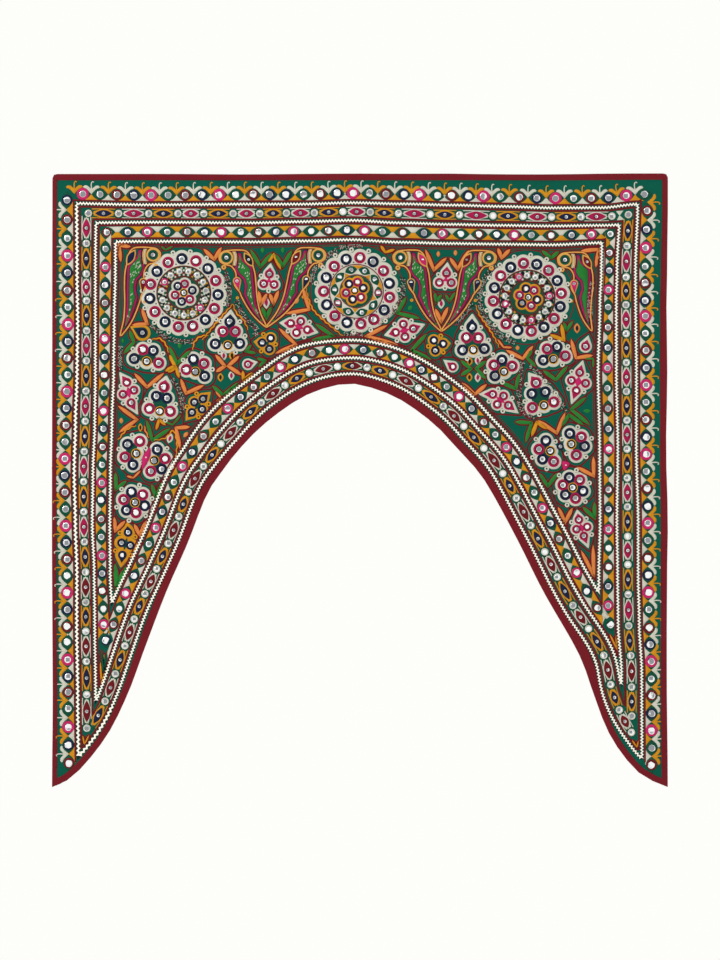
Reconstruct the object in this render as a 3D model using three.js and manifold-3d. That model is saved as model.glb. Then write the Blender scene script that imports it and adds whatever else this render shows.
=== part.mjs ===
// Embroidered doorway toran: a green cotton panel with an arched opening, bound in maroon,
// with three loops of white zigzag braid and rings of small mirrors sewn to its face.
// Millimetres, +Z up, the face looks along -Y. The origin is the middle of the top edge.
import * as THREE from 'three';
import { mergeVertices } from 'three/addons/utils/BufferGeometryUtils.js';
import Module from 'manifold-3d';

const wasm = await Module();
wasm.setup();

// Driving sizes
const HALF_WIDTH = 539;
const DROP = 1074;
const CORNER_RADIUS = 9;
const CLOTH = 1.2;
const FOLD_WALL = 0.6;
const GAP = 0.3;
const BRAID_WIDTH = 5.6;
const BRAID_RISE = 1;
const MIRROR_RADIUS = 6.5;
const MIRROR_SIDES = 12;
const MIRROR_RISE = 1.2;
const TIP_WRAP_DROP = 1040;

// The arch's edge, read as drops from the top edge and the half widths there
const CROWN = { drop: 368, at: -17 };
const ARCH = [
  { drop: 1074, left: -539, right: 539 },
  { drop: 1068, left: -522, right: 522 },
  { drop: 1047, left: -494, right: 486 },
  { drop: 1005, left: -458, right: 451 },
  { drop: 963, left: -431, right: 428 },
  { drop: 900, left: -402, right: 405 },
  { drop: 837, left: -379, right: 381 },
  { drop: 732, left: -339, right: 321 },
  { drop: 648, left: -302, right: 279 },
  { drop: 564, left: -269, right: 234 },
  { drop: 522, left: -242, right: 207 },
  { drop: 480, left: -209, right: 169 },
  { drop: 438, left: -167, right: 129 },
  { drop: 396, left: -109, right: 71 },
  { drop: 375, left: -60, right: 20 },
];
const ARCH_STEPS = 64;

// Along each side: how far in from the straight line the cloth's edge, the binding's inner
// line and the three braid lines lie. The arch is measured along its own edge.
const LEFT_SIDE = [
  { at: 0, edge: 0.8, binding: 8.2, outer: 43, middle: 78, inner: 112 },
  { at: 175, edge: 0.5, binding: 7.6, outer: 44, middle: 76, inner: 111 },
  { at: 262, edge: 0.5, binding: 7.6, outer: 45.2, middle: 76, inner: 109 },
  { at: 349, edge: 0.3, binding: 7.4, outer: 44, middle: 76, inner: 108 },
  { at: 437, edge: 0.2, binding: 7.2, outer: 41.1, middle: 75, inner: 105 },
  { at: 524, edge: 0, binding: 7, outer: 39, middle: 71.8, inner: 102.4 },
  { at: 612, edge: 0, binding: 7.2, outer: 41, middle: 70.7, inner: 101.3 },
  { at: 699, edge: 0.2, binding: 7.4, outer: 43.8, middle: 74, inner: 102 },
  { at: 787, edge: 0.8, binding: 8, outer: 43.5, middle: 75, inner: 106 },
  { at: 920, edge: 1.4, binding: 8.8, outer: 45.2, middle: 76.5, inner: 108 },
  { at: 1074, edge: 0.2, binding: 8.6, outer: 47, middle: 76, inner: 108 },
];
const TOP_SIDE = [
  { at: -539, edge: 1, binding: 11.4, outer: 52, middle: 87, inner: 121 },
  { at: -365, edge: 0.8, binding: 11.2, outer: 55, middle: 85.6, inner: 119 },
  { at: -190, edge: 1.7, binding: 11.4, outer: 53.9, middle: 86.6, inner: 119.9 },
  { at: -102, edge: 0.9, binding: 11.2, outer: 53.9, middle: 84.5, inner: 118.3 },
  { at: -15, edge: 0.2, binding: 11.2, outer: 51.3, middle: 82.3, inner: 116.2 },
  { at: 73, edge: 0.5, binding: 11.2, outer: 53.4, middle: 86.6, inner: 120.6 },
  { at: 160, edge: 0.3, binding: 11.2, outer: 55.5, middle: 89.3, inner: 122.7 },
  { at: 248, edge: 1.6, binding: 11.2, outer: 57.8, middle: 91, inner: 123.9 },
  { at: 335, edge: 1.7, binding: 11.4, outer: 60.4, middle: 92.1, inner: 125 },
  { at: 423, edge: 0.4, binding: 11, outer: 60, middle: 91, inner: 121.6 },
  { at: 487, edge: 0, binding: 10.4, outer: 53.9, middle: 88.9, inner: 120 },
  { at: 539, edge: 0, binding: 10.4, outer: 52, middle: 88, inner: 119 },
];
const RIGHT_SIDE = [
  { at: 0, edge: 0.2, binding: 9.4, outer: 53, middle: 84, inner: 114 },
  { at: 52, edge: 0.2, binding: 9.4, outer: 53, middle: 84, inner: 114 },
  { at: 174, edge: 1.6, binding: 12, outer: 56.9, middle: 89.3, inner: 116.6 },
  { at: 225, edge: 2.8, binding: 13.2, outer: 56.7, middle: 90.5, inner: 119 },
  { at: 349, edge: 1.4, binding: 13.4, outer: 55.3, middle: 90.3, inner: 122.2 },
  { at: 480, edge: 3.4, binding: 13.2, outer: 55.4, middle: 87.8, inner: 119.7 },
  { at: 612, edge: 0.3, binding: 11.8, outer: 52.2, middle: 89.3, inner: 118.8 },
  { at: 699, edge: 1.6, binding: 12, outer: 52.2, middle: 88.2, inner: 120.9 },
  { at: 787, edge: 2.2, binding: 12.2, outer: 50.4, middle: 87.2, inner: 122 },
  { at: 874, edge: 2.2, binding: 12.2, outer: 46, middle: 81.5, inner: 122 },
  { at: 1074, edge: 0.4, binding: 11, outer: 45.5, middle: 80, inner: 122 },
];
const ARCH_SIDE = [
  { at: 0, edge: 0, binding: 11, outer: 17.5, middle: 45.5, inner: 80 },
  { at: 175, edge: 0, binding: 11, outer: 15.9, middle: 45.5, inner: 80 },
  { at: 262, edge: 0, binding: 12.2, outer: 18.2, middle: 49, inner: 81.5 },
  { at: 350, edge: 0, binding: 13.5, outer: 19.6, middle: 50.4, inner: 81.5 },
  { at: 437, edge: 0, binding: 12.2, outer: 15.9, middle: 46.2, inner: 77.2 },
  { at: 612, edge: 0, binding: 12.8, outer: 17.2, middle: 45.5, inner: 77.2 },
  { at: 700, edge: 0, binding: 11.2, outer: 14.7, middle: 46, inner: 80.5 },
  { at: 787, edge: 0, binding: 13.3, outer: 18.2, middle: 47.3, inner: 77 },
  { at: 857, edge: 0, binding: 13.7, outer: 18.5, middle: 49, inner: 82 },
  { at: 919, edge: 0, binding: 13.6, outer: 17.2, middle: 45.2, inner: 76.1 },
  { at: 980, edge: 0, binding: 14.8, outer: 18.5, middle: 48.5, inner: 79 },
  { at: 1137, edge: 0, binding: 13.5, outer: 18.9, middle: 49.9, inner: 80.5 },
  { at: 1312, edge: 0, binding: 12.4, outer: 15.9, middle: 48.8, inner: 80.5 },
  { at: 1400, edge: 0, binding: 12.8, outer: 16.3, middle: 50.9, inner: 82.3 },
  { at: 1487, edge: 0, binding: 11.8, outer: 15.4, middle: 50.4, inner: 83 },
  { at: 1584, edge: 0, binding: 17.2, outer: 21.5, middle: 56.5, inner: 83 },
  { at: 1654, edge: 0, binding: 11, outer: 14.4, middle: 50.4, inner: 83 },
  { at: 1750, edge: 0, binding: 10.5, outer: 20.3, middle: 50, inner: 83 },
  { at: 1860, edge: 0, binding: 10.5, outer: 24, middle: 50, inner: 83 },
];

// The slack of the hung cloth, which stands off the wall by this much below the flat top
const FLAT_TOP = 48;
const SLACK_DROP = 260;
const SWELLS = [
  { rise: 2.6, across: 430, down: 1900, phase: 0.6 },
  { rise: 1.8, across: -1500, down: 520, phase: 1.1 },
  { rise: 1.4, across: 350, down: 420, phase: 2.3 },
];
const CELL = 72;
const CELLS = 16;

// The outer ring of mirrors of each medallion, turned clockwise from the top
const MEDALLIONS = [
  { name: 'left', across: -308.4, drop: 209.6, ring: 60, count: 15, turn: -3.1 },
  { name: 'middle', across: -5.4, drop: 205.5, ring: 58.3, count: 15, turn: 5.2 },
  { name: 'right', across: 292.8, drop: 216.7, ring: 59.9, count: 16, turn: -6.5 },
];

const FINISH = {
  ground: { color: 0x005f48, roughness: 0.85, metalness: 0 },
  binding: { color: 0x731622, roughness: 0.8, metalness: 0 },
  braid: { color: 0xf5f2e4, roughness: 0.75, metalness: 0 },
  mirror: { color: 0xe4e7ea, roughness: 0.08, metalness: 1 },
};

const LINE_MARGIN = 60;
const SIDE_STEPS = 20;

function eased(rows, key, at) {
  const last = rows.length - 1;
  if (at <= rows[0].at) return rows[0][key];
  if (at >= rows[last].at) return rows[last][key];
  const next = rows.findIndex((row) => row.at > at);
  const low = rows[next - 1];
  const high = rows[next];
  const share = (at - low.at) / (high.at - low.at);
  return low[key] + (high[key] - low[key]) * share * share * (3 - 2 * share);
}

// How far the cloth stands forward of the wall at a place on it
function forward(x, z) {
  const share = Math.min(Math.max((-z - FLAT_TOP) / SLACK_DROP, 0), 1);
  const slack = share * share * (3 - 2 * share);
  let sum = 0;
  for (const swell of SWELLS) {
    const angle = 2 * Math.PI * (x / swell.across + z / swell.down) + swell.phase;
    sum += swell.rise * 0.5 * (1 + Math.sin(angle));
  }
  return slack * sum;
}

function solidOf(geometry) {
  const bare = geometry.clone();
  bare.deleteAttribute('normal');
  bare.deleteAttribute('uv');
  const merged = mergeVertices(bare, 1e-4);
  return new wasm.Manifold(new wasm.Mesh({
    numProp: 3,
    vertProperties: new Float32Array(merged.attributes.position.array),
    triVerts: new Uint32Array(merged.index.array),
  }));
}

// A layer of the hung sheet from `back` to `front`, both counted forward from its middle.
// Its two faces share one grid of creases, so that layers lie evenly on each other.
function layer(back, front) {
  const span = CELL * CELLS;
  const grid = new THREE.PlaneGeometry(span, span, CELLS, CELLS);
  grid.translate(0, CELL - FLAT_TOP - span / 2, 0);
  const { count } = grid.attributes.position;
  const places = [];
  for (const stand of [front, back]) {
    for (let i = 0; i < count; i += 1) {
      const x = grid.attributes.position.getX(i);
      const z = grid.attributes.position.getY(i);
      places.push(x, -stand - forward(x, z), z);
    }
  }
  const faces = [...grid.index.array];
  for (let i = 0; i < grid.index.count; i += 3) {
    const [a, b, c] = [0, 1, 2].map((k) => grid.index.getX(i + k) + count);
    faces.push(a, c, b);
  }
  const rim = rimOfGrid();
  rim.forEach((a, i) => {
    const b = rim[(i + 1) % rim.length];
    faces.push(b, a, a + count, b, a + count, b + count);
  });
  const geometry = new THREE.BufferGeometry();
  geometry.setAttribute('position', new THREE.Float32BufferAttribute(places, 3));
  geometry.setIndex(faces);
  return solidOf(geometry);
}

// The grid's border points in turn, from its lower left corner and round by the right
function rimOfGrid() {
  const side = CELLS + 1;
  const steps = [...Array(CELLS).keys()];
  return [
    ...steps.map((i) => CELLS * side + i),
    ...steps.map((i) => (CELLS - i) * side + CELLS),
    ...steps.map((i) => CELLS - i),
    ...steps.map((i) => i * side),
  ];
}

// A straight-walled block over an outline drawn on the sheet
function block(outline) {
  const shape = new THREE.Shape(outline.map(([x, z]) => new THREE.Vector2(x, z)));
  const reach = 80;
  const geometry = new THREE.ExtrudeGeometry(shape, { depth: reach, bevelEnabled: false });
  geometry.rotateX(Math.PI / 2);
  geometry.translate(0, reach / 2, 0);
  return solidOf(geometry);
}

// The arch's edge from the left tip over the crown to the right tip
function archEdge() {
  const left = ARCH.map((row) => new THREE.Vector2(row.left, -row.drop));
  const right = ARCH.map((row) => new THREE.Vector2(row.right, -row.drop)).reverse();
  const crown = new THREE.Vector2(CROWN.at, -CROWN.drop);
  const curve = new THREE.SplineCurve([...left, crown, ...right]);
  curve.arcLengthDivisions = 1200;
  const length = curve.getLength();
  return curve.getSpacedPoints(ARCH_STEPS).map((point, i) => {
    const tangent = curve.getTangentAt(i / ARCH_STEPS);
    return { point, tangent, at: (length * i) / ARCH_STEPS };
  });
}
const ARCH_EDGE = archEdge();

// What lies below the arch when its edge is moved into the cloth, as one block
function belowArch(key, more) {
  const edge = ARCH_EDGE.map(({ point, tangent, at }) => {
    const inset = eased(ARCH_SIDE, key, at) + more;
    return [point.x - tangent.y * inset, point.y + tangent.x * inset];
  });
  const first = edge[0];
  const last = edge[edge.length - 1];
  const start = ARCH_EDGE[0].tangent;
  const end = ARCH_EDGE[ARCH_STEPS].tangent;
  const reach = 2 * LINE_MARGIN;
  return block([
    [first[0] - start.x * reach, -DROP - 3 * reach],
    [first[0] - start.x * reach, first[1] - start.y * reach],
    ...edge,
    [last[0] + end.x * reach, last[1] + end.y * reach],
    [last[0] + end.x * reach, -DROP - 3 * reach],
  ]);
}

// What lies within the left, top and right sides at a given inset, as one block
function withinSides(key, more, radius = 0) {
  const inset = (rows, at) => eased(rows, key, at) + more;
  const top = -inset(TOP_SIDE, -HALF_WIDTH);
  const topRight = -inset(TOP_SIDE, HALF_WIDTH);
  const low = -DROP - LINE_MARGIN;
  const outline = [];
  for (let i = 0; i < SIDE_STEPS; i += 1) {
    const z = low + ((top - radius - low) * i) / SIDE_STEPS;
    outline.push([-HALF_WIDTH + inset(LEFT_SIDE, -z), z]);
  }
  const left = -HALF_WIDTH + inset(LEFT_SIDE, -top);
  const right = HALF_WIDTH - inset(RIGHT_SIDE, -topRight);
  outline.push(...cornerArc(left + radius, top - radius, radius, Math.PI));
  for (let i = 1; i < SIDE_STEPS; i += 1) {
    const x = left + radius + ((right - left - 2 * radius) * i) / SIDE_STEPS;
    outline.push([x, -inset(TOP_SIDE, x)]);
  }
  outline.push(...cornerArc(right - radius, topRight - radius, radius, Math.PI / 2));
  for (let i = 1; i <= SIDE_STEPS; i += 1) {
    const z = topRight - radius + ((low - topRight + radius) * i) / SIDE_STEPS;
    outline.push([HALF_WIDTH - inset(RIGHT_SIDE, -z), z]);
  }
  return block(outline.reverse());
}

function cornerArc(x, z, radius, from) {
  if (radius === 0) return [[x, z]];
  const steps = 5;
  const points = [];
  for (let i = 0; i <= steps; i += 1) {
    const angle = from - (Math.PI / 2) * (i / steps);
    points.push([x + radius * Math.cos(angle), z + radius * Math.sin(angle)]);
  }
  return points;
}

function loopRegion(key, more, radius = 0) {
  return withinSides(key, more, radius).subtract(belowArch(key, more));
}

function meshOf(name, solid, finish) {
  const { vertProperties, triVerts } = solid.getMesh();
  const geometry = new THREE.BufferGeometry();
  geometry.setAttribute('position', new THREE.BufferAttribute(vertProperties, 3));
  geometry.setIndex(new THREE.BufferAttribute(triVerts, 1));
  geometry.computeVertexNormals();
  const mesh = new THREE.Mesh(geometry, new THREE.MeshStandardMaterial(finish));
  mesh.name = name;
  return mesh;
}

// The green cotton panel, whose raw edge lies inside the folded binding
function groundPanel() {
  const region = loopRegion('edge', FOLD_WALL + GAP, CORNER_RADIUS - FOLD_WALL - GAP);
  const sheet = layer(-CLOTH / 2, CLOTH / 2);
  return [meshOf('ground_panel', region.intersect(sheet), FINISH.ground)];
}

// The maroon binding: four strips folded over the edge, front wall, fold and back wall in one
function bindings() {
  const half = CLOTH / 2 + GAP;
  const whole = loopRegion('edge', 0, CORNER_RADIUS);
  const strips = whole.intersect(layer(-half - FOLD_WALL, half + FOLD_WALL));
  const pocket = loopRegion('edge', FOLD_WALL, CORNER_RADIUS - FOLD_WALL);
  const folded = strips.subtract(pocket.intersect(layer(-half, half)));
  const border = folded.subtract(loopRegion('binding', 0));

  const wide = HALF_WIDTH + LINE_MARGIN;
  const seam = (more) => TOP_SIDE.map((row) => [row.at, -row.binding - more]);
  const sky = (more) => [[-wide, seam(more)[0][1]], ...seam(more),
    [wide, seam(more)[TOP_SIDE.length - 1][1]], [wide, LINE_MARGIN], [-wide, LINE_MARGIN]];
  const tips = (drop) => block([[-wide, -DROP - LINE_MARGIN], [wide, -DROP - LINE_MARGIN],
    [wide, -drop], [-wide, -drop]]);
  const half_sheet = (side) => block([[0, -DROP - LINE_MARGIN], [side * wide, -DROP - LINE_MARGIN],
    [side * wide, LINE_MARGIN], [0, LINE_MARGIN]]);
  const foot = belowArch('binding', 0).add(tips(TIP_WRAP_DROP));
  const clearFoot = belowArch('binding', GAP).add(tips(TIP_WRAP_DROP - GAP));
  const sides = border.subtract(block(sky(GAP))).subtract(clearFoot);
  return [
    meshOf('binding_top', border.intersect(block(sky(0))), FINISH.binding),
    meshOf('binding_left', sides.intersect(half_sheet(-1)), FINISH.binding),
    meshOf('binding_right', sides.intersect(half_sheet(1)), FINISH.binding),
    meshOf('binding_arch', border.intersect(foot), FINISH.binding),
  ];
}

// The white zigzag braid: three closed loops sewn flat to the face
function braids() {
  const bottom = CLOTH / 2 + GAP;
  const sheet = layer(bottom, bottom + BRAID_RISE);
  return ['outer', 'middle', 'inner'].map((key) => {
    const outside = loopRegion(key, -BRAID_WIDTH / 2);
    const inside = loopRegion(key, BRAID_WIDTH / 2);
    const loop = outside.subtract(inside).intersect(sheet);
    return meshOf(`zigzag_${key}`, loop, FINISH.braid);
  });
}

// The mirrors around the three medallions, each a round of glass held down by its stitches
function medallionMirrors() {
  const bottom = CLOTH / 2 + GAP;
  const sheet = layer(bottom, bottom + MIRROR_RISE);
  const mirrors = [];
  for (const { name, across, drop, ring, count, turn } of MEDALLIONS) {
    for (let i = 0; i < count; i += 1) {
      const angle = ((turn + (360 * i) / count) * Math.PI) / 180;
      const disc = new THREE.CylinderGeometry(MIRROR_RADIUS, MIRROR_RADIUS, LINE_MARGIN, MIRROR_SIDES);
      disc.translate(across + ring * Math.sin(angle), 0, -drop + ring * Math.cos(angle));
      const label = `mirror_${name}_${String(i + 1).padStart(2, '0')}`;
      mirrors.push(meshOf(label, solidOf(disc).intersect(sheet), FINISH.mirror));
    }
  }
  return mirrors;
}

const toran = new THREE.Group();
toran.add(...groundPanel(), ...bindings(), ...braids(), ...medallionMirrors());

export default toran;
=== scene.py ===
"""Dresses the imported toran: its cloth, binding, braid, mirrors and embroidery, and a plain stage.

The pattern is charted on squares of 1.75 mm, as a maker charts it on squared paper, and laid
on the hung cloth, which stands a few millimetres off the wall in slow swells.
"""

import math
import random

import bpy
import numpy as np
from bpy.props import FloatProperty, IntProperty, PointerProperty
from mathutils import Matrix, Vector
from mathutils.geometry import delaunay_2d_cdt, tessellate_polygon


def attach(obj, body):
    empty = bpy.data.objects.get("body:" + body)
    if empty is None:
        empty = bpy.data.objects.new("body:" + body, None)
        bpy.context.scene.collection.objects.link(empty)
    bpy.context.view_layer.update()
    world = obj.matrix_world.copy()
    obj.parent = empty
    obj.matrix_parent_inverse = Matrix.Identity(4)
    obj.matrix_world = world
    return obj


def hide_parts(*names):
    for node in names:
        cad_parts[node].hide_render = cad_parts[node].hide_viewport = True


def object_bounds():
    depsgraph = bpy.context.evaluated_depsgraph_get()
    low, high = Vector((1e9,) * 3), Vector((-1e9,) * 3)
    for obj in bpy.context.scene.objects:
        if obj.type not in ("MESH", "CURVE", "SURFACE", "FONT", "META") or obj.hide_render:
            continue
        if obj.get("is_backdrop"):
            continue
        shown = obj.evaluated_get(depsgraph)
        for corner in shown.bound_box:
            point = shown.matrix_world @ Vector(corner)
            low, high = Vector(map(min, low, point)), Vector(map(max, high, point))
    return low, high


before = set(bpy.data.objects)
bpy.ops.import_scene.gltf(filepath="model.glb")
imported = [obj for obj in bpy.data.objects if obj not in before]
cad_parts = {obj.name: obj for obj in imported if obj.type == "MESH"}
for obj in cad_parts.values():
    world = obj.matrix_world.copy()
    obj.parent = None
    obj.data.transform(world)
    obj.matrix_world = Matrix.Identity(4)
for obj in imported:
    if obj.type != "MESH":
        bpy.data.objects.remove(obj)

bl_info = {
    "name": "Embroidered toran",
    "version": (1, 0, 0),
    "blender": (4, 5, 0),
    "location": "3D View > Sidebar > Toran",
    "description": "Builds the cloth, mirrors and embroidery of a doorway toran",
    "category": "Object",
}

# Sizes of the cloth, in millimetres: its face lies forward of the middle of its thickness
HALF_WIDTH = 539
TIP_WRAP_DROP = 1040
FACE = 0.6
RAW_EDGE_INSET = 1.1

# A square of the chart in millimetres, and the squares of the middle and of the top edge
SQUARE = 1.75
MIDDLE_COLUMN = 359.5
TOP_ROW = 173.5

# Grids in millimetres, so that the cloth and the larger patches follow its swells
CLOTH_GRID = 14
FILL_GRID = 9.0
FILL_SIZE_WITH_GRID = 22

# A link of chain stitch and a row of satin stitch, in millimetres
LINK = 2.2
SATIN_ROW = 1.1

# The arch's edge: drop from the top edge, and how far left and right of the middle it lies
ARCH = (
    (1074, -539, 539), (1068, -522, 522), (1047, -494, 486), (1005, -458, 451), (963, -431, 428),
    (900, -402, 405), (837, -379, 381), (732, -339, 321), (648, -302, 279), (564, -269, 234),
    (522, -242, 207), (480, -209, 169), (438, -167, 129), (396, -109, 71), (375, -60, 20),
)
CROWN = (-17, 368)

# Along each side: place, then how far in lie the edge, the binding's line and the three braids
LEFT_SIDE = (
    (0, 0.8, 8.2, 43, 78, 112), (175, 0.5, 7.6, 44, 76, 111), (262, 0.5, 7.6, 45.2, 76, 109),
    (349, 0.3, 7.4, 44, 76, 108), (437, 0.2, 7.2, 41.1, 75, 105), (524, 0, 7, 39, 71.8, 102.4),
    (612, 0, 7.2, 41, 70.7, 101.3), (699, 0.2, 7.4, 43.8, 74, 102), (787, 0.8, 8, 43.5, 75, 106),
    (920, 1.4, 8.8, 45.2, 76.5, 108), (1074, 0.2, 8.6, 47, 76, 108),
)
TOP_SIDE = (
    (-539, 1, 11.4, 52, 87, 121), (-365, 0.8, 11.2, 55, 85.6, 119),
    (-190, 1.7, 11.4, 53.9, 86.6, 119.9), (-102, 0.9, 11.2, 53.9, 84.5, 118.3),
    (-15, 0.2, 11.2, 51.3, 82.3, 116.2), (73, 0.5, 11.2, 53.4, 86.6, 120.6),
    (160, 0.3, 11.2, 55.5, 89.3, 122.7), (248, 1.6, 11.2, 57.8, 91, 123.9),
    (335, 1.7, 11.4, 60.4, 92.1, 125), (423, 0.4, 11, 60, 91, 121.6),
    (487, 0, 10.4, 53.9, 88.9, 120), (539, 0, 10.4, 52, 88, 119),
)
RIGHT_SIDE = (
    (0, 0.2, 9.4, 53, 84, 114), (52, 0.2, 9.4, 53, 84, 114), (174, 1.6, 12, 56.9, 89.3, 116.6),
    (225, 2.8, 13.2, 56.7, 90.5, 119), (349, 1.4, 13.4, 55.3, 90.3, 122.2),
    (480, 3.4, 13.2, 55.4, 87.8, 119.7), (612, 0.3, 11.8, 52.2, 89.3, 118.8),
    (699, 1.6, 12, 52.2, 88.2, 120.9), (787, 2.2, 12.2, 50.4, 87.2, 122),
    (874, 2.2, 12.2, 46, 81.5, 122), (1074, 0.4, 11, 45.5, 80, 122),
)
ARCH_SIDE = (
    (0, 0, 11, 17.5, 45.5, 80), (175, 0, 11, 15.9, 45.5, 80), (262, 0, 12.2, 18.2, 49, 81.5),
    (350, 0, 13.5, 19.6, 50.4, 81.5), (437, 0, 12.2, 15.9, 46.2, 77.2),
    (612, 0, 12.8, 17.2, 45.5, 77.2), (700, 0, 11.2, 14.7, 46, 80.5),
    (787, 0, 13.3, 18.2, 47.3, 77), (857, 0, 13.7, 18.5, 49, 82), (919, 0, 13.6, 17.2, 45.2, 76.1),
    (980, 0, 14.8, 18.5, 48.5, 79), (1137, 0, 13.5, 18.9, 49.9, 80.5),
    (1312, 0, 12.4, 15.9, 48.8, 80.5), (1400, 0, 12.8, 16.3, 50.9, 82.3),
    (1487, 0, 11.8, 15.4, 50.4, 83), (1584, 0, 17.2, 21.5, 56.5, 83),
    (1654, 0, 11, 14.4, 50.4, 83), (1750, 0, 10.5, 20.3, 50, 83), (1860, 0, 10.5, 24, 50, 83),
)
SIDES = {"left": LEFT_SIDE, "top": TOP_SIDE, "right": RIGHT_SIDE, "arch": ARCH_SIDE}
KEYS = ("edge", "binding", "outer", "middle", "inner")

# The slack of the hung cloth. Each swell: rise, span across, span down, phase
FLAT_TOP = 48
SLACK_DROP = 260
SWELLS = ((2.6, 430, 1900, 0.6), (1.8, -1500, 520, 1.1), (1.4, 350, 420, 2.3))

# Thread: linear colour, and the record's slot
COLOURS = {
    "white": ((0.60, 0.585, 0.495), "white_thread"),
    "yellow": ((0.60, 0.255, 0.008), "yellow_thread"),
    "peach": ((0.68, 0.215, 0.05), "peach_thread"),
    "sand": ((0.66, 0.33, 0.07), "peach_thread"),
    "leaf": ((0.018, 0.19, 0.028), "leaf_thread"),
    "green": ((0.002, 0.07, 0.038), "green_thread"),
    "magenta": ((0.37, 0.007, 0.072), "magenta_thread"),
    "pink": ((0.52, 0.016, 0.125), "pink_thread"),
    "navy": ((0.005, 0.011, 0.045), "navy_thread"),
    "black": ((0.004, 0.008, 0.012), "black_thread"),
    "maroon": ((0.14, 0.005, 0.009), "maroon_thread"),
}


def eased(side, key, at):
    """How far in from a side a line lies at each place along it."""
    rows = np.array(SIDES[side], float)
    column = rows[:, 1 + KEYS.index(key)]
    at = np.clip(np.asarray(at, float), rows[0, 0], rows[-1, 0])
    low = np.clip(np.searchsorted(rows[:, 0], at, side="right") - 1, 0, len(rows) - 2)
    share = (at - rows[low, 0]) / (rows[low + 1, 0] - rows[low, 0])
    return column[low] + (column[low + 1] - column[low]) * share * share * (3 - 2 * share)


def forward(x, z):
    """How far the cloth stands forward of the wall."""
    share = np.clip((-z - FLAT_TOP) / SLACK_DROP, 0, 1)
    total = 0
    for rise, across, down, phase in SWELLS:
        total = total + rise * 0.5 * (1 + np.sin(2 * math.pi * (x / across + z / down) + phase))
    return share * share * (3 - 2 * share) * total


def hang(points):
    """Plan places and heights over the cloth's middle, in millimetres, as places in metres."""
    x, z, stand = np.asarray(points, float).T
    return np.column_stack((x, -stand - forward(x, z), z)) / 1000


def chart(*points):
    """Chart squares, counted right and down, as plan places in millimetres."""
    squares = np.array(points, float).reshape(-1, 2)
    return np.column_stack(((squares[:, 0] - MIDDLE_COLUMN), (TOP_ROW - squares[:, 1]))) * SQUARE


def unit(vectors):
    """Vectors drawn out or in to a length of one."""
    lengths = np.maximum(np.linalg.norm(vectors, axis=-1, keepdims=True), 1e-9)
    return vectors / lengths


def even(path, step, closed=False):
    """Points at even steps along a path; a closed one stops a step before its start."""
    path = np.vstack((path, path[:1])) if closed else np.asarray(path, float)
    along = np.concatenate(([0], np.cumsum(np.hypot(*np.diff(path, axis=0).T))))
    count = max(round(along[-1] / step), 6 if closed else 1)
    at = np.linspace(0, along[-1], count + 1)
    at = at[:-1] if closed else at
    return np.column_stack([np.interp(at, along, path[:, k]) for k in (0, 1)])


def dense(points, closed=False, parts=8):
    """A smooth curve through the points."""
    points = np.asarray(points, float)
    before, after = (points[-1:], points[:2]) if closed else (points[:1], points[-1:])
    frames = np.vstack((before, points, after))
    share = np.linspace(0, 1, parts, endpoint=False)[:, None]
    pieces = []
    for a, b, c, d in zip(frames, frames[1:], frames[2:], frames[3:]):
        start, end = (c - a) / 2, (d - b) / 2
        pieces.append((2 * b - 2 * c + start + end) * share ** 3
                      + (3 * c - 3 * b - 2 * start - end) * share ** 2 + start * share + b)
    if not closed:
        pieces.append(points[-1:])
    return np.vstack(pieces)


def smooth(points, step=2.0, closed=False):
    """Even points along a smooth curve."""
    return even(dense(points, closed), step, closed)


def arch_line():
    """The arch's edge: distances along it, places, and the directions into the cloth."""
    left = [(a, -drop) for drop, a, _ in ARCH]
    right = [(b, -drop) for drop, _, b in reversed(ARCH)]
    line = dense([*left, (CROWN[0], -CROWN[1]), *right], parts=24)
    length = np.hypot(*np.diff(line, axis=0).T).sum()
    line = even(line, length / 900)
    tangent = unit(np.gradient(line, axis=0))
    return np.linspace(0, length, len(line)), line, np.column_stack((-tangent[:, 1], tangent[:, 0]))


ARCH_AT, ARCH_LINE, ARCH_INWARD = arch_line()


def place(side, at, inset):
    """Plan places at a distance along a side and a distance in from it."""
    at, inset = np.broadcast_arrays(np.asarray(at, float), np.asarray(inset, float))
    if side == "top":
        return np.column_stack((at.ravel(), -inset.ravel()))
    if side == "arch":
        at, inset = at.ravel(), inset.ravel()
        columns = []
        for k in (0, 1):
            edge = np.interp(at, ARCH_AT, ARCH_LINE[:, k])
            columns.append(edge + np.interp(at, ARCH_AT, ARCH_INWARD[:, k]) * inset)
        return np.column_stack(columns)
    sign = -1 if side == "left" else 1
    return np.column_stack((sign * (HALF_WIDTH - inset.ravel()), -at.ravel()))


def side_line(side, key, more, ats):
    """One of the named lines of a side, moved further in by more."""
    return place(side, ats, eased(side, key, ats) + more)


def loop(key, more=0.0):
    """A closed line at one depth: up the left, along the top, down the right, back by the arch."""
    arch = side_line("arch", key, more, np.linspace(0, ARCH_AT[-1], 1400))
    left_x = -HALF_WIDTH + eased("left", key, -arch[:, 1]) + more
    right_x = HALF_WIDTH - eased("right", key, -arch[:, 1]) - more
    arch = arch[(arch[:, 0] > left_x) & (arch[:, 0] < right_x)]
    return np.vstack((three_sides(key, more, -arch[0, 1], -arch[-1, 1]), arch[::-1]))


def three_sides(key, more, left_foot, right_foot):
    """A line up the left, along the top and down the right."""
    top_left = float(eased("top", key, -HALF_WIDTH) + more)
    top_right = float(eased("top", key, HALF_WIDTH) + more)
    left = side_line("left", key, more, np.linspace(left_foot, top_left, 200))
    right = side_line("right", key, more, np.linspace(top_right, right_foot, 200))
    top = side_line("top", key, more, np.linspace(left[-1, 0] + 1, right[0, 0] - 1, 200))
    return np.vstack((left, top, right))


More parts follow.
